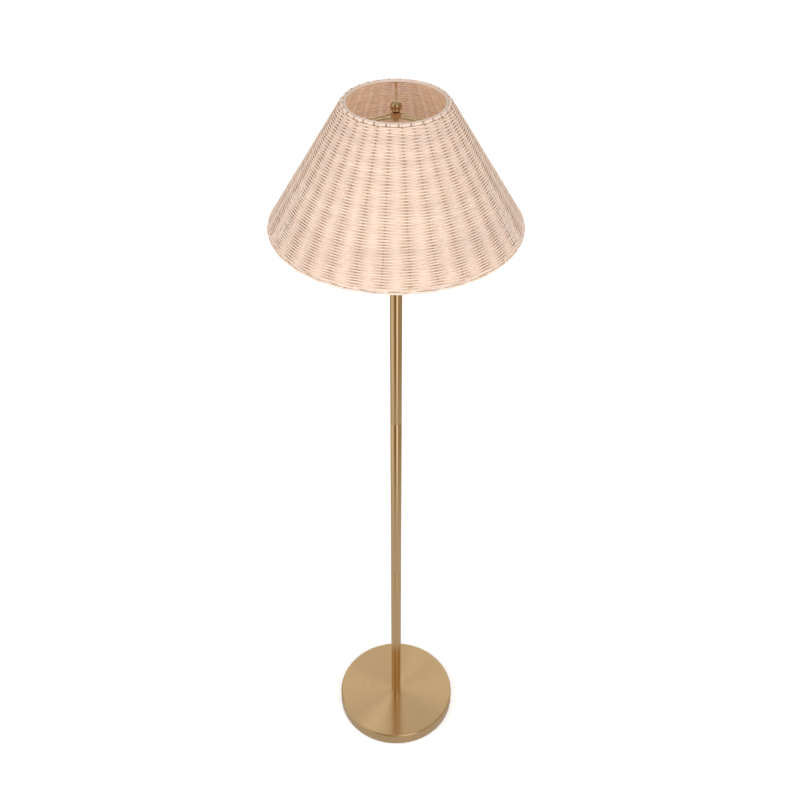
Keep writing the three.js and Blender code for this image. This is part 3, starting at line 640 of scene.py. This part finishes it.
def swing_round_stakes(mesh):
    """Bends the rings over and under the stakes, and stores each vertex's tone and its painted
    shade, on the inner side and in the recesses beside the stakes and between the rows."""
    count = len(mesh.vertices)
    place = np.empty(count * 3)
    mesh.vertices.foreach_get("co", place)
    place = place.reshape(-1, 3) / MM
    row = np.empty(count, np.int32)
    mesh.attributes["row"].data.foreach_get("value", row)
    angle = np.arctan2(place[:, 1], place[:, 0]) % TURN
    radius = np.hypot(place[:, 0], place[:, 1])
    centre = np.array([wall_place(along, 0) for along in ROW_ALONG])[row]
    lean_out, lean_up = math.cos(SLANT), math.sin(SLANT)
    side = (radius - centre[:, 0]) * lean_out + (place[:, 2] - centre[:, 1]) * lean_up
    rise = -(radius - centre[:, 0]) * lean_up + (place[:, 2] - centre[:, 1]) * lean_out
    stake = np.round(angle / TURN * STAKES).astype(int) % STAKES
    wave = np.cos(angle * STAKES / 2)
    wave = wave * (0.8 + 0.2 * wave**2) * (1 - 2 * (row % 2))
    pressed = np.abs(wave) ** 1.5
    # Painted shade: these parts are darkened in colour, less so on the shade's inner side: the side
    # of a strand turned to a stake, its part deepest behind the stake, and the groove between rows.
    behind = -wave * side / STRAND_THICK
    deepest = np.clip((behind - HOLLOW_START) / 0.2, 0, 1) ** 1.3
    hollow_shade = FLANK_SHADE * np.clip(behind / 0.8, 0, 1) + HOLLOW_SHADE * deepest
    hollow_shade *= np.where(side > 0, 1, INNER_HOLLOW_SHADE)
    groove_shade = GROOVE_SHADE * np.clip(1 - np.abs(side) / (0.5 * STRAND_THICK), 0, 1)
    side = side + wave * ROW_DEPTH[row, stake]
    plump = 1 + np.where(wave > 0, FRONT_PLUMP, BACK_PLUMP) * pressed
    slow, quick = 3 * angle + ROW_WANDER[row, 0], 8 * angle + ROW_WANDER[row, 1]
    drift = 0.14 * np.sin(slow) + 0.08 * np.sin(quick)
    rise = rise * plump + np.abs(wave) * ROW_LIFT[row, stake] + drift
    radius = centre[:, 0] + side * lean_out - rise * lean_up
    height = centre[:, 1] + side * lean_up + rise * lean_out
    moved_to = np.stack([radius * np.cos(angle), radius * np.sin(angle), height], axis=1) * MM
    mesh.vertices.foreach_set("co", moved_to.ravel())
    travel = ROW_TRAVEL[row] + angle * ROW_RADIUS[row]
    store(mesh, "tone", STRAND_TONES[np.searchsorted(STRAND_ENDS, travel)])
    # The last two values are painted shade, which the rattan material multiplies into its colour.
    store(mesh, "inner_shade", np.clip((-side - 0.15) / 1.1, 0, 1))
    store(mesh, "recess_shade", np.maximum(hollow_shade, groove_shade))


def store(mesh, name, values):
    layer = mesh.attributes.new(name, "FLOAT", "POINT")
    layer.data.foreach_set("value", np.asarray(values, np.float32))


def strands(name, lines, radius, tones, tucked=0.0):
    """Wires with one tone each, whose ends get painted shade where they are tucked in."""
    mesh = mesh_of(wires(name, lines, radius, 2), name)
    each = len(mesh.vertices) // len(lines)
    store(mesh, "tone", np.repeat(tones, each))
    share = np.arange(each) // (each // len(lines[0])) / (len(lines[0]) - 1)
    # Painted shade at both ends of each strand, where it dives into the weave.
    dark = np.clip((np.abs(share * 2 - 1) - 0.86) / 0.08, 0, 1) * tucked
    store(mesh, "recess_shade", np.tile(dark, len(lines)))
    return mesh


def on_wall(degrees, along, off):
    radius, height = wall_place(along, off)
    angle = math.radians(degrees)
    return radius * math.cos(angle), radius * math.sin(angle), height


def border_lines(path, start, run):
    """One strand for each stake: it leaves the weave, follows the edge and is tucked in again."""
    shares, alongs, offs = np.array(path).T
    lines = []
    for stake in range(STAKES):
        line = []
        for share in np.linspace(0, 1, 26):
            bend = share * share * (3 - 2 * share) * 0.35 + share * 0.65
            along = float(np.interp(share, shares, alongs))
            off = float(np.interp(share, shares, offs))
            line.append(on_wall((stake + start + bend * run) * STAKE_SPACING, along, off))
        lines.append(smoothed(line))
    return lines


def smoothed(line, rounds=3):
    """The same line with its corners eased and its ends kept."""
    points = np.array(line)
    for _ in range(rounds):
        points[1:-1] = (points[:-2] + 2 * points[1:-1] + points[2:]) / 4
    return [tuple(point) for point in points]


# Points of share of the run, place up the wall and place off its middle
HEM_PATH = [
    (0.0, 3.4, 0.1), (0.06, 2.7, 0.6), (0.5, 2.4, 0.8), (0.9, 2.3, 0.6), (1.0, 3.0, -0.6),
]
HEM_UPPER_PATH = [
    (0.0, 8.6, -0.5), (0.1, 6.9, 0.8), (0.5, 6.2, 1.15), (0.9, 5.4, 0.8), (1.0, 5.6, -0.5),
]
HEM_INNER_PATH = [
    (0.0, 8.0, -0.2), (0.15, 5.6, -1.1), (0.5, 3.6, -1.6), (0.85, 2.6, -1.2), (1.0, 3.6, -0.2),
]
RIM_PATH = [
    (0.0, 238.6, -0.7), (0.04, 239.7, -0.6), (0.12, 240.1, -0.8), (0.5, 240.5, -1.2),
    (0.88, 240.7, -1.5), (0.96, 240.5, -1.7), (1.0, 239.8, -1.9),
]
# Name, path, start and run in stakes, radius, painted shade at the ends, middle tone, CAD node
EDGES = [
    ("hem_roll", HEM_PATH, 0.02, 1.0, 1.75, 0.25, 0.6, "bottom_border"),
    ("hem_row", HEM_UPPER_PATH, 0.0, 2.0, 1.15, 0.5, 0.6, "bottom_border"),
    ("hem_inside", HEM_INNER_PATH, 0.0, 1.6, 1.3, 0.3, 0.6, "bottom_border"),
    ("rim_roll", RIM_PATH, 0.05, 0.9, 2.3, 1.0, 0.4, "top_border"),
]


def make_shade():
    thirds = np.linspace(0, ROWS, 4).astype(int)
    for name, first, last in zip(("weft_low", "weft_middle", "weft_high"), thirds, thirds[1:]):
        rows = weft_rows(int(first), int(last))
        piece(name, rows, "shade", "rattan_weave", rattan_weft, "shade_weave", sharp=80)
    heights = [(along, 0) for along in np.linspace(5, 236, 12)] + [(239.4, -0.5), (241.6, -1.1)]
    uprights = [
        [on_wall(stake * 360 / STAKES + 0.12 * math.sin(stake * 5), *place) for place in heights]
        for stake in range(STAKES)
    ]
    stakes = strands("stakes", uprights, STAKE_RADIUS, draw.uniform(0, 1, STAKES))
    piece("stakes", stakes, "shade", "rattan_weave", rattan_stake, "shade_weave", sharp=80)
    for name, path, start, run, radius, tucked, tone, covered in EDGES:
        tones = np.clip(draw.normal(tone, 0.13, STAKES), 0, 1)
        edge = strands(name, border_lines(path, start, run), radius, tones, tucked)
        piece(name, edge, "shade", "rattan_border", rattan_border, covered, sharp=50)
    for name, size, covered in (
        ("rim_ring", TOP_RING, "top_ring"), ("hem_ring", BOTTOM_RING, "bottom_ring"),
    ):
        piece(name, ring(*size), "shade", "coated_wire", coated_wire, covered, sharp=80)


def ring(radius, height, thickness):
    bm = bmesh.new()
    upright = shift(radius, 0, height) @ turn(90, "X")
    bmesh.ops.create_circle(bm, segments=14, radius=thickness * MM, matrix=upright)
    spin_round(bm, bm.verts[:] + bm.edges[:], 160)
    return tidy(bm)


# The base and the pole

def make_base():
    inner, ceiling = BASE_RADIUS - COVER_WALL, BASE_TOP - COVER_WALL
    dish = spun([
        (NIPPLE_HOLE, BASE_TOP), (BASE_RADIUS, BASE_TOP, 4), (BASE_RADIUS, PAD_TOP, 0.4),
        (inner, PAD_TOP), (inner, ceiling, 2.8), (NIPPLE_HOLE, ceiling),
    ], 192, 8)
    rear = shift(0, BASE_RADIUS, CORD_HEIGHT) @ turn(-90, "X")
    hole = moved(spun([(0, -4), (4.75, -4), (4.75, 4), (0, 4)], 32), rear)
    piece("base_dish", drilled(dish, hole), "stand", "satin_brass", base_brass, "base_cover")
    pad = spun([(30, 0, 0.3), (123, 0, 0.5), (123, PAD_TOP), (30, PAD_TOP)], 128, 3)
    piece("felt_pad", pad, "stand", "felt", black_felt, "base_pad")
    gland = spun([
        (3.3, -3.4), (4.6, -3.4), (5.7, -1.8, 0.3), (4.6, -1.8), (4.6, 0.3), (6.6, 0.3, 0.3),
        (6.6, 2.3, 1), (3.3, 2.3, 0.5),
    ], 32, 3)
    moved(gland, rear)
    piece("cord_gland", gland, "stand", "black_plastic", black_plastic, "cord_bushing")


def make_pole():
    for index, node_name in enumerate(("lower_pole", "middle_pole", "upper_pole")):
        foot = BASE_TOP + index * SECTION
        head = foot + SECTION
        tube = spun([
            (POLE_BORE, foot), (POLE_RADIUS, foot, 0.45), (POLE_RADIUS, head, 0.45),
            (POLE_BORE, head),
        ], 64, 4)
        piece(node_name + "_tube", tube, "stand", "satin_brass", pole_brass, node_name)
    cap = spun([
        (NIPPLE_HOLE, POLE_TOP), (12.1, POLE_TOP, 0.5), (12.1, 1294.4, 0.6), (8.9, 1295.3, 0.5),
        (8.2, SADDLE_SEAT), (NIPPLE_HOLE, SADDLE_SEAT),
    ], 64, 4)
    piece("neck_cap", cap, "stand", "satin_brass", turned_brass, "pole_cap")


# The harp, the spider and the finial

def through(points, steps):
    """A centripetal Catmull-Rom line through the points, with so many steps from point to point."""
    points = [np.array(p, float) for p in points]
    points = [2 * points[0] - points[1], *points, 2 * points[-1] - points[-2]]
    line = []
    for a, b, c, d in zip(points, points[1:], points[2:], points[3:]):
        spans = [max(np.linalg.norm(q - p) ** 0.5, 1e-6) for p, q in ((a, b), (b, c), (c, d))]
        first, middle, last = spans
        leave = ((b - a) / first - (c - a) / (first + middle) + (c - b) / middle) * middle
        arrive = ((c - b) / middle - (d - b) / (middle + last) + (d - c) / last) * middle
        for t in np.linspace(0, 1, steps, endpoint=False):
            line.append(
                b * (2 * t**3 - 3 * t**2 + 1) + leave * (t**3 - 2 * t**2 + t)
                + c * (3 * t**2 - 2 * t**3) + arrive * (t**3 - t**2)
            )
    line.append(points[-2])
    return [tuple(point) for point in line]


def harp_line():
    """The harp's wire, from the foot of one leg over the top to the foot of the other."""
    bend = LEG_TOP + 3.8
    rise = WIRE_TOP - bend
    shares = [(0.96, 0.36), (1, 0.54), (0.93, 0.75), (0.72, 0.92), (0.4, 0.985)]
    heights = (LEG_FOOT, (LEG_FOOT + LEG_TOP) / 2, LEG_TOP, bend)

    def leg(sign):
        straight = [(sign * POST_X, 0, z) for z in heights]
        bow = [(sign * out * HARP_HALF_WIDTH, 0, bend + up * rise) for out, up in shares]
        return straight + bow

    return through([*leg(-1), (0, 0, WIRE_TOP), *reversed(leg(1))], 10)


def harp_saddle():
    """A pressed strip with a round middle, and a shouldered post at each end."""
    thick = 1.6
    plate = bmesh.new()
    box = Matrix.Diagonal((68.8 * MM, 7.2 * MM, thick * MM, 1))
    bmesh.ops.create_cube(plate, size=1, matrix=shift(z=thick / 2) @ box)
    bmesh.ops.bevel(
        plate, geom=plate.edges[:], offset=0.3 * MM, affect="EDGES", segments=2, profile=0.5,
        material=-1,
    )
    middle = [(NIPPLE_HOLE, 0), (11, 0, 0.3), (11, thick, 0.3), (NIPPLE_HOLE, thick)]
    parts = [plate, spun(middle, 48, 2)]
    for side in (-POST_X, POST_X):
        post = spun([
            (0, 0.8), (3.4, 0.8), (3.4, 4.6, 0.5), (1.9, 4.6), (1.9, 12.6, 0.4), (0, 12.6),
        ], 24, 3)
        parts.append(moved(post, shift(side)))
    return moved(joined(*parts), shift(z=SADDLE_SEAT))


def make_harp():
    piece("harp_strip", harp_saddle(), "stand", "satin_brass", turned_brass, "harp_saddle")
    bow = wires("bow", [harp_line()], HARP_WIRE_RADIUS, 4)
    piece("harp_bow", bow, "stand", "harp_brass", drawn_brass, "harp_wire", sharp=60)
    boss = spun([
        (0, 1468.7), (4.6, 1468.7, 0.6), (4.6, 1476.2, 0.4), (3.1, 1476.2), (3.1, 1489.5, 0.4),
        (0, 1489.5),
    ], 40, 3)
    threads = helix(3.02, 0.12, 1477.2, 1489.0, STUD_PITCH, 24)
    piece("harp_boss", joined(boss, threads), "stand", "harp_brass", drawn_brass, "harp_stud")
    for side, body, name, node_name in (
        (-POST_X, "left_ferrule", "left_sleeve", "left_harp_ferrule"),
        (POST_X, "right_ferrule", "right_sleeve", "right_harp_ferrule"),
    ):
        sleeve = spun([
            (2.1, 0), (3.4, 0, 0.3), (3.4, 2.2, 0.3), (3.15, 3.4), (3.15, 12.6), (3.4, 13.8, 0.3),
            (3.4, 16, 0.3), (2.1, 16),
        ], 28, 3)
        moved(sleeve, shift(side, 0, FERRULE_FOOT))
        piece(name, sleeve, body, "harp_brass", drawn_brass, node_name)


def helix(radius, thickness, low, high, pitch, per_turn):
    """The ridge of a thread, as a wire of that half thickness round the axis."""
    count = int((high - low) / pitch * per_turn)
    line = []
    for i in range(count + 1):
        angle = TURN * i / per_turn
        rise = pitch * i / per_turn
        line.append((radius * math.cos(angle), radius * math.sin(angle), low + rise))
    return wires("thread", [line], thickness, 1)


def make_spider():
    hub = spun([(3.4, HUB_SEAT), (8, HUB_SEAT, 0.5), (8, HUB_TOP, 0.7), (3.4, HUB_TOP)], 64, 4)
    piece("centre_hub", hub, "shade", "satin_brass", turned_brass, "spider_hub")
    bend, reach = 8, TOP_RING[0]
    level = [(r, 0, ARM_HEIGHT) for r in np.linspace(5.4, reach - bend, 6)]
    corner = [
        (reach - bend * (1 - t) ** 2, 0, ARM_HEIGHT + bend * t * t * 0.95)
        for t in np.linspace(0.1, 1, 9)
    ]
    end = [(reach, 0, z) for z in (1491.5, 1494.5, 1496.3)]
    for side, degrees in (("back", 90), ("left", 210), ("right", 330)):
        name = side + "_arm"
        arm = wires(name, [level + corner + end], ARM_RADIUS, 4)
        moved(arm, turn(degrees, "Z"))
        piece(name, arm, "shade", "satin_brass", drawn_brass, side + "_spider_arm", sharp=60)


def make_finial():
    radius, bottom = 9.3, 1483.3
    foot = math.asin(5 / radius)
    centre = bottom + radius * math.cos(foot)
    ball = [
        (radius * math.cos(a), centre + radius * math.sin(a))
        for a in np.linspace(foot - math.pi / 2, math.pi / 2, 34)[:-1]
    ]
    outline = [(0, 1489.8), (3.3, 1489.8), (3.3, bottom), *ball, (0, centre + radius)]
    piece("ball_finial", spun(outline, 72), "finial", "satin_brass", polished_brass, "finial")


# The socket, its key and the bulb

def make_socket():
    cap = spun([
        (NIPPLE_HOLE, SADDLE_TOP), (7.6, SADDLE_TOP, 0.4), (7.6, 1306.2, 0.5),
        (16.2, 1313.3, 1.2), (17.8, 1315.4, 0.8), (17.8, 1321.1, 0.25), (17, 1321.1), (17, 1315.4),
        (16.2, 1314.1), (7.6, 1307.1), (NIPPLE_HOLE, 1307.1),
    ], 72, 4)
    piece("lower_shell", cap, "stand", "socket_brass", socket_brass, "socket_cap")
    shell = spun([
        (16.2, 1315.1), (16.8, 1315.1), (16.8, 1341, 0.3), (17.2, 1342, 0.3), (17.2, 1344, 0.3),
        (16.8, 1345, 0.3), (16.8, 1356, 0.2), (17.4, 1356.9, 0.2), (17.4, 1357.6, 0.2),
        (16.8, 1358.1), (16.2, 1358.1),
    ], 72, 3)
    front = shift(0, 0, STEM_AXIS) @ turn(90, "X")
    hole = moved(spun([(0, 12), (2.4, 12), (2.4, 22), (0, 22)], 24), front)
    shell = drilled(shell, hole)
    piece("upper_shell", shell, "stand", "socket_brass", socket_brass, "socket_shell")
    thimble = spun([
        (6.2, 1335.1), (14.1, 1335.1, 0.4), (14.1, 1355.5), (14.9, 1356.3, 0.3),
        (14.1, 1357.1, 0.2), (13.6, 1357.1), (13.6, 1335.6), (6.2, 1335.6),
    ], 64, 3)
    lined = joined(thimble, helix(14.05, 0.35, 1338.5, 1354.5, LAMP_CAP_PITCH, 40))
    piece("screw_thimble", lined, "stand", "socket_brass", socket_brass, "screw_shell")


def fluted_knob():
    """A moulded knob: a fluted barrel with rounded ends."""
    bm = bmesh.new()
    flutes, flute_depth = 8, 0.1
    made = bmesh.ops.create_circle(bm, segments=48, radius=6.6 * MM, cap_ends=True)
    for vert in made["verts"]:
        angle = math.atan2(vert.co.y, vert.co.x)
        vert.co *= 1 - flute_depth * max(0.0, math.cos(flutes * angle)) ** 3
    bmesh.ops.inset_region(bm, faces=bm.faces[:], thickness=0.9 * MM, depth=0)
    inner = max(bm.faces, key=lambda face: face.calc_area())
    bmesh.ops.translate(bm, verts=inner.verts[:], vec=(0, 0, -0.7 * MM))
    for taper, lift in ((1, 8.6), (0.94, 1.1), (0.8, 0.6)):
        rim = [edge for edge in bm.edges if edge.is_boundary]
        raised = bmesh.ops.extrude_edge_only(bm, edges=rim)
        lifted = [item for item in raised["geom"] if isinstance(item, bmesh.types.BMVert)]
        bmesh.ops.scale(bm, verts=lifted, vec=(taper, taper, 1))
        bmesh.ops.translate(bm, verts=lifted, vec=(0, 0, lift * MM))
    bmesh.ops.contextual_create(bm, geom=[edge for edge in bm.edges if edge.is_boundary])
    tidy(bm)
    return moved(bm, shift(0, -27.5, STEM_AXIS) @ turn(90, "X"))


def make_switch():
    piece("key_knob", fluted_knob(), "switch_key", "black_plastic", black_plastic, "switch_knob")
    stem = spun([(0, 0), (2, 0, 0.2), (2, 20.5, 0.2), (0, 20.5)], 32, 3)
    moved(stem, shift(0, -7, STEM_AXIS) @ turn(90, "X"))
    piece("key_stem", stem, "switch_key", "plain_steel", zinc_steel, "switch_stem")


def make_bulb():
    centre, radius = 1418.5, 30.0
    neck = [(13, 1364.8), (13.1, 1367.5), (13.9, 1372), (16.1, 1378.5), (19.4, 1385.8), (23, 1393)]
    globe = [
        (radius * math.cos(a), centre + radius * math.sin(a))
        for a in np.linspace(math.radians(-15), math.pi / 2, 24)
    ]
    smooth_neck = [(p[0], p[2]) for p in through([(r, 0, z) for r, z in [*neck, globe[0]]], 5)]
    outline = [(0, neck[0][1]), *smooth_neck, *globe[1:-1], (0, centre + radius)]
    glass = spun(outline, 80)
    piece("bulb_globe", glass, "bulb", "frosted_glass", frosted_glass, "bulb_glass", sharp=60)
    cap = spun([
        (4.6, 1342.5), (12.2, 1342.5, 0.5), (12.7, 1344, 0.3), (12.7, 1361), (12.9, 1363, 0.3),
        (12.9, 1364.5, 0.2), (12.5, 1364.5), (12.3, 1343), (4.6, 1343),
    ], 64, 3)
    threads = helix(12.45, 0.55, 1345.5, 1360.5, LAMP_CAP_PITCH, 40)
    piece("bulb_thimble", joined(cap, threads), "bulb", "bulb_metal", cap_aluminium, "bulb_cap")


# Finishes of the CAD's own pieces that stay visible. The others are of steel.

CARRIED = {
    "base_weight": cast_concrete,
    "socket_liner": card_board,
    "socket_body": phenolic,
    "centre_contact": socket_brass,
    "live_terminal_screw": socket_brass,
    "bulb_insulator": black_plastic,
}


def finish_carried():
    for name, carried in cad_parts.items():
        if carried.hide_render:
            continue
        carried.data.materials.clear()
        carried.data.materials.append(CARRIED.get(name, zinc_steel))


make_shade()
make_base()
make_pole()
make_harp()
make_spider()
make_finial()
make_socket()
make_switch()
make_bulb()
finish_carried()


# The studio

def make_camera():
    data = bpy.data.cameras.new("camera")
    camera = add_object("camera", data)
    data.sensor_width = 36
    data.lens = 46.98
    data.shift_x = 0.0049
    data.clip_start = 0.01
    data.dof.use_dof = False
    camera.location = (0, -1.469, 2.149)
    camera.rotation_euler = (math.radians(50.17), 0, 0)
    scene.camera = camera


WHITE = (1.0, 1.0, 1.0)
# What the brass mirrors. Upright glows: direction from the camera's side, half width and soft
# edge, in degrees, and strength
GLOWS = [(-75, 20, 30, 0.53), (21, 7, 16, 0.9), (95, 30, 35, 0.17)]
DARK_LEVEL = 0.2  # between the glows
REAR_LEVEL = 0.6  # added behind the lamp
NEAR_LEVEL = 0.52  # of the floor by the base
TOP_LEVEL = 0.52  # overhead
# High glows, which the base's brushed top draws out into wedges: direction, strength, and the
# cosines of its edge and core
HIGH_GLOWS = [
    ((-0.076, 0.441, 0.894), 0.4, 0.9965, 0.9995),
    ((-0.123, 0.358, 0.926), 0.4, 0.9965, 0.9995),
    ((-0.168, 0.273, 0.947), 0.4, 0.9965, 0.9995),
    ((0.46, 0.52, 0.72), 0.3, 0.95, 0.985),
    ((-0.46, 0.52, 0.72), 0.3, 0.95, 0.985),
]
WARM_DARK = (1.0, 0.80, 0.46)  # colour of what is darkest
WORLD_LIGHT = 0.59
FLOOR_LIGHT = 0.86  # what the floor throws back on the lamp
FLOOR_SHOWN = 1.25  # and what the camera sees of it
POLE_MIDDLE = (0, 0, 0.85)


def surroundings(tree, vector):
    """Brightness of the studio in reflections, by direction round the axis, and the vector's z."""
    parts = node(tree, "ShaderNodeSeparateXYZ")
    link(tree, vector, parts.inputs[0])
    x, y, z = parts.outputs
    toward = maths(tree, "ARCTAN2", x, maths(tree, "MULTIPLY", y, -1.0))
    level = DARK_LEVEL
    for centre, flat, edge, strength in GLOWS:
        away = maths(tree, "ABSOLUTE", maths(tree, "SUBTRACT", toward, math.radians(centre)))
        glow = spread(tree, away, math.radians(flat), math.radians(flat + edge), strength, 0.0)
        level = maths(tree, "ADD", glow, level)
    away = maths(tree, "ABSOLUTE", toward)
    rear = spread(tree, away, math.radians(120), math.radians(160), 0.0, REAR_LEVEL)
    return maths(tree, "ADD", level, rear), z


def shown_colour(tree, level):
    return blend_colour(tree, spread(tree, level, 0.15, 0.6), WARM_DARK, WHITE)


def make_lamp(name, place, width, height, energy, target=POLE_MIDDLE):
    """A rectangular softbox that lights the lamp and isn't seen or mirrored itself."""
    data = bpy.data.lights.new(name, "AREA")
    data.shape = "RECTANGLE"
    data.size = width
    data.size_y = height
    data.energy = energy
    lamp = add_object(name, data)
    lamp.location = place
    aim = Vector(target) - Vector(place)
    lamp.rotation_euler = aim.to_track_quat("-Z", "Y").to_euler()
    lamp.visible_camera = False
    lamp.visible_glossy = False


def mirror_rays(tree, path):
    """1 for rays that come from a reflection or through glass, else 0."""
    glossy, through_glass = path.outputs["Is Glossy Ray"], path.outputs["Is Transmission Ray"]
    return maths(tree, "MAXIMUM", glossy, through_glass)


def make_floor():
    """A floor that keeps the lamp's shadow. The camera sees it white, and brass sees the studio."""
    bm = bmesh.new()
    bmesh.ops.create_grid(bm, x_segments=2, y_segments=2, size=20, matrix=shift(z=-0.4))
    mesh = mesh_of(bm, "floor")
    floor = add_object("floor", mesh)
    material = bpy.data.materials.new("white_floor")
    material.use_nodes = True
    tree = material.node_tree
    tree.nodes.clear()
    out = node(tree, "ShaderNodeOutputMaterial")
    matt = node(tree, "ShaderNodeBsdfDiffuse")
    seen = node(tree, "ShaderNodeEmission")
    path = node(tree, "ShaderNodeLightPath")
    shown = spread(tree, path.outputs["Is Camera Ray"], 0, 1, FLOOR_LIGHT, FLOOR_SHOWN)
    link(tree, grey(tree, shown), matt.inputs["Color"])
    place = object_place(tree)
    away = node(tree, "ShaderNodeVectorMath", operation="LENGTH")
    link(tree, place, away.inputs[0])
    backdrop = spread(tree, away.outputs["Value"], 0.2, 1.5, 0.1, 0.55)
    backdrop = maths(tree, "MULTIPLY", path.outputs["Is Camera Ray"], backdrop)
    link(tree, backdrop, seen.inputs["Strength"])
    lit = node(tree, "ShaderNodeAddShader")
    link(tree, matt.outputs[0], lit.inputs[0])
    link(tree, seen.outputs[0], lit.inputs[1])
    mirrored = node(tree, "ShaderNodeEmission")
    far = spread(tree, away.outputs["Value"], 0.3, 1.3)
    level = mixed_value(tree, far, NEAR_LEVEL, surroundings(tree, place)[0])
    link(tree, level, mirrored.inputs["Strength"])
    link(tree, shown_colour(tree, level), mirrored.inputs["Color"])
    chosen = node(tree, "ShaderNodeMixShader")
    link(tree, mirror_rays(tree, path), chosen.inputs[0])
    link(tree, lit.outputs[0], chosen.inputs[1])
    link(tree, mirrored.outputs[0], chosen.inputs[2])
    link(tree, chosen.outputs[0], out.inputs["Surface"])
    mesh.materials.append(material)


def make_world():
    world = bpy.data.worlds.new("studio")
    scene.world = world
    world.use_nodes = True
    tree = world.node_tree
    shown = tree.nodes["Background"]
    path = node(tree, "ShaderNodeLightPath")
    direction = node(tree, "ShaderNodeTexCoord").outputs["Generated"]
    level, upward = surroundings(tree, direction)
    glow = mixed_value(tree, spread(tree, upward, 0.6, 0.95), level, TOP_LEVEL)
    for centre, strength, edge, core in HIGH_GLOWS:
        toward = node(tree, "ShaderNodeVectorMath", operation="DOT_PRODUCT")
        link(tree, direction, toward.inputs[0])
        toward.inputs[1].default_value = centre
        high = spread(tree, toward.outputs["Value"], edge, core, 0.0, strength)
        glow = maths(tree, "ADD", glow, high)
    shine = mirror_rays(tree, path)
    light = mixed_value(tree, path.outputs["Is Camera Ray"], WORLD_LIGHT, 1.0)
    colour = blend_colour(tree, shine, WHITE, shown_colour(tree, glow))
    link(tree, colour, shown.inputs["Color"])
    link(tree, mixed_value(tree, shine, light, glow), shown.inputs["Strength"])


make_camera()
# Name, place, width and height in metres, watts
make_lamp("left_softbox", (-2.2, -1.2, 1.9), 1.2, 2.2, 24.5)
make_lamp("right_softbox", (1.6, -1.9, 2.1), 1.2, 2.2, 23.5)
make_lamp("front_softbox", (0.1, -1.9, 2.4), 1.4, 1.4, 9, target=(0, 0, 1.3))
make_lamp("top_softbox", (0.2, -0.9, 3.3), 1.6, 1.6, 3)
make_lamp("low_bounce", (0, -0.9, 0.1), 1.0, 1.0, 5, target=(0, 0, 1.4))
make_floor()
make_world()
scene.view_settings.view_transform = "Standard"
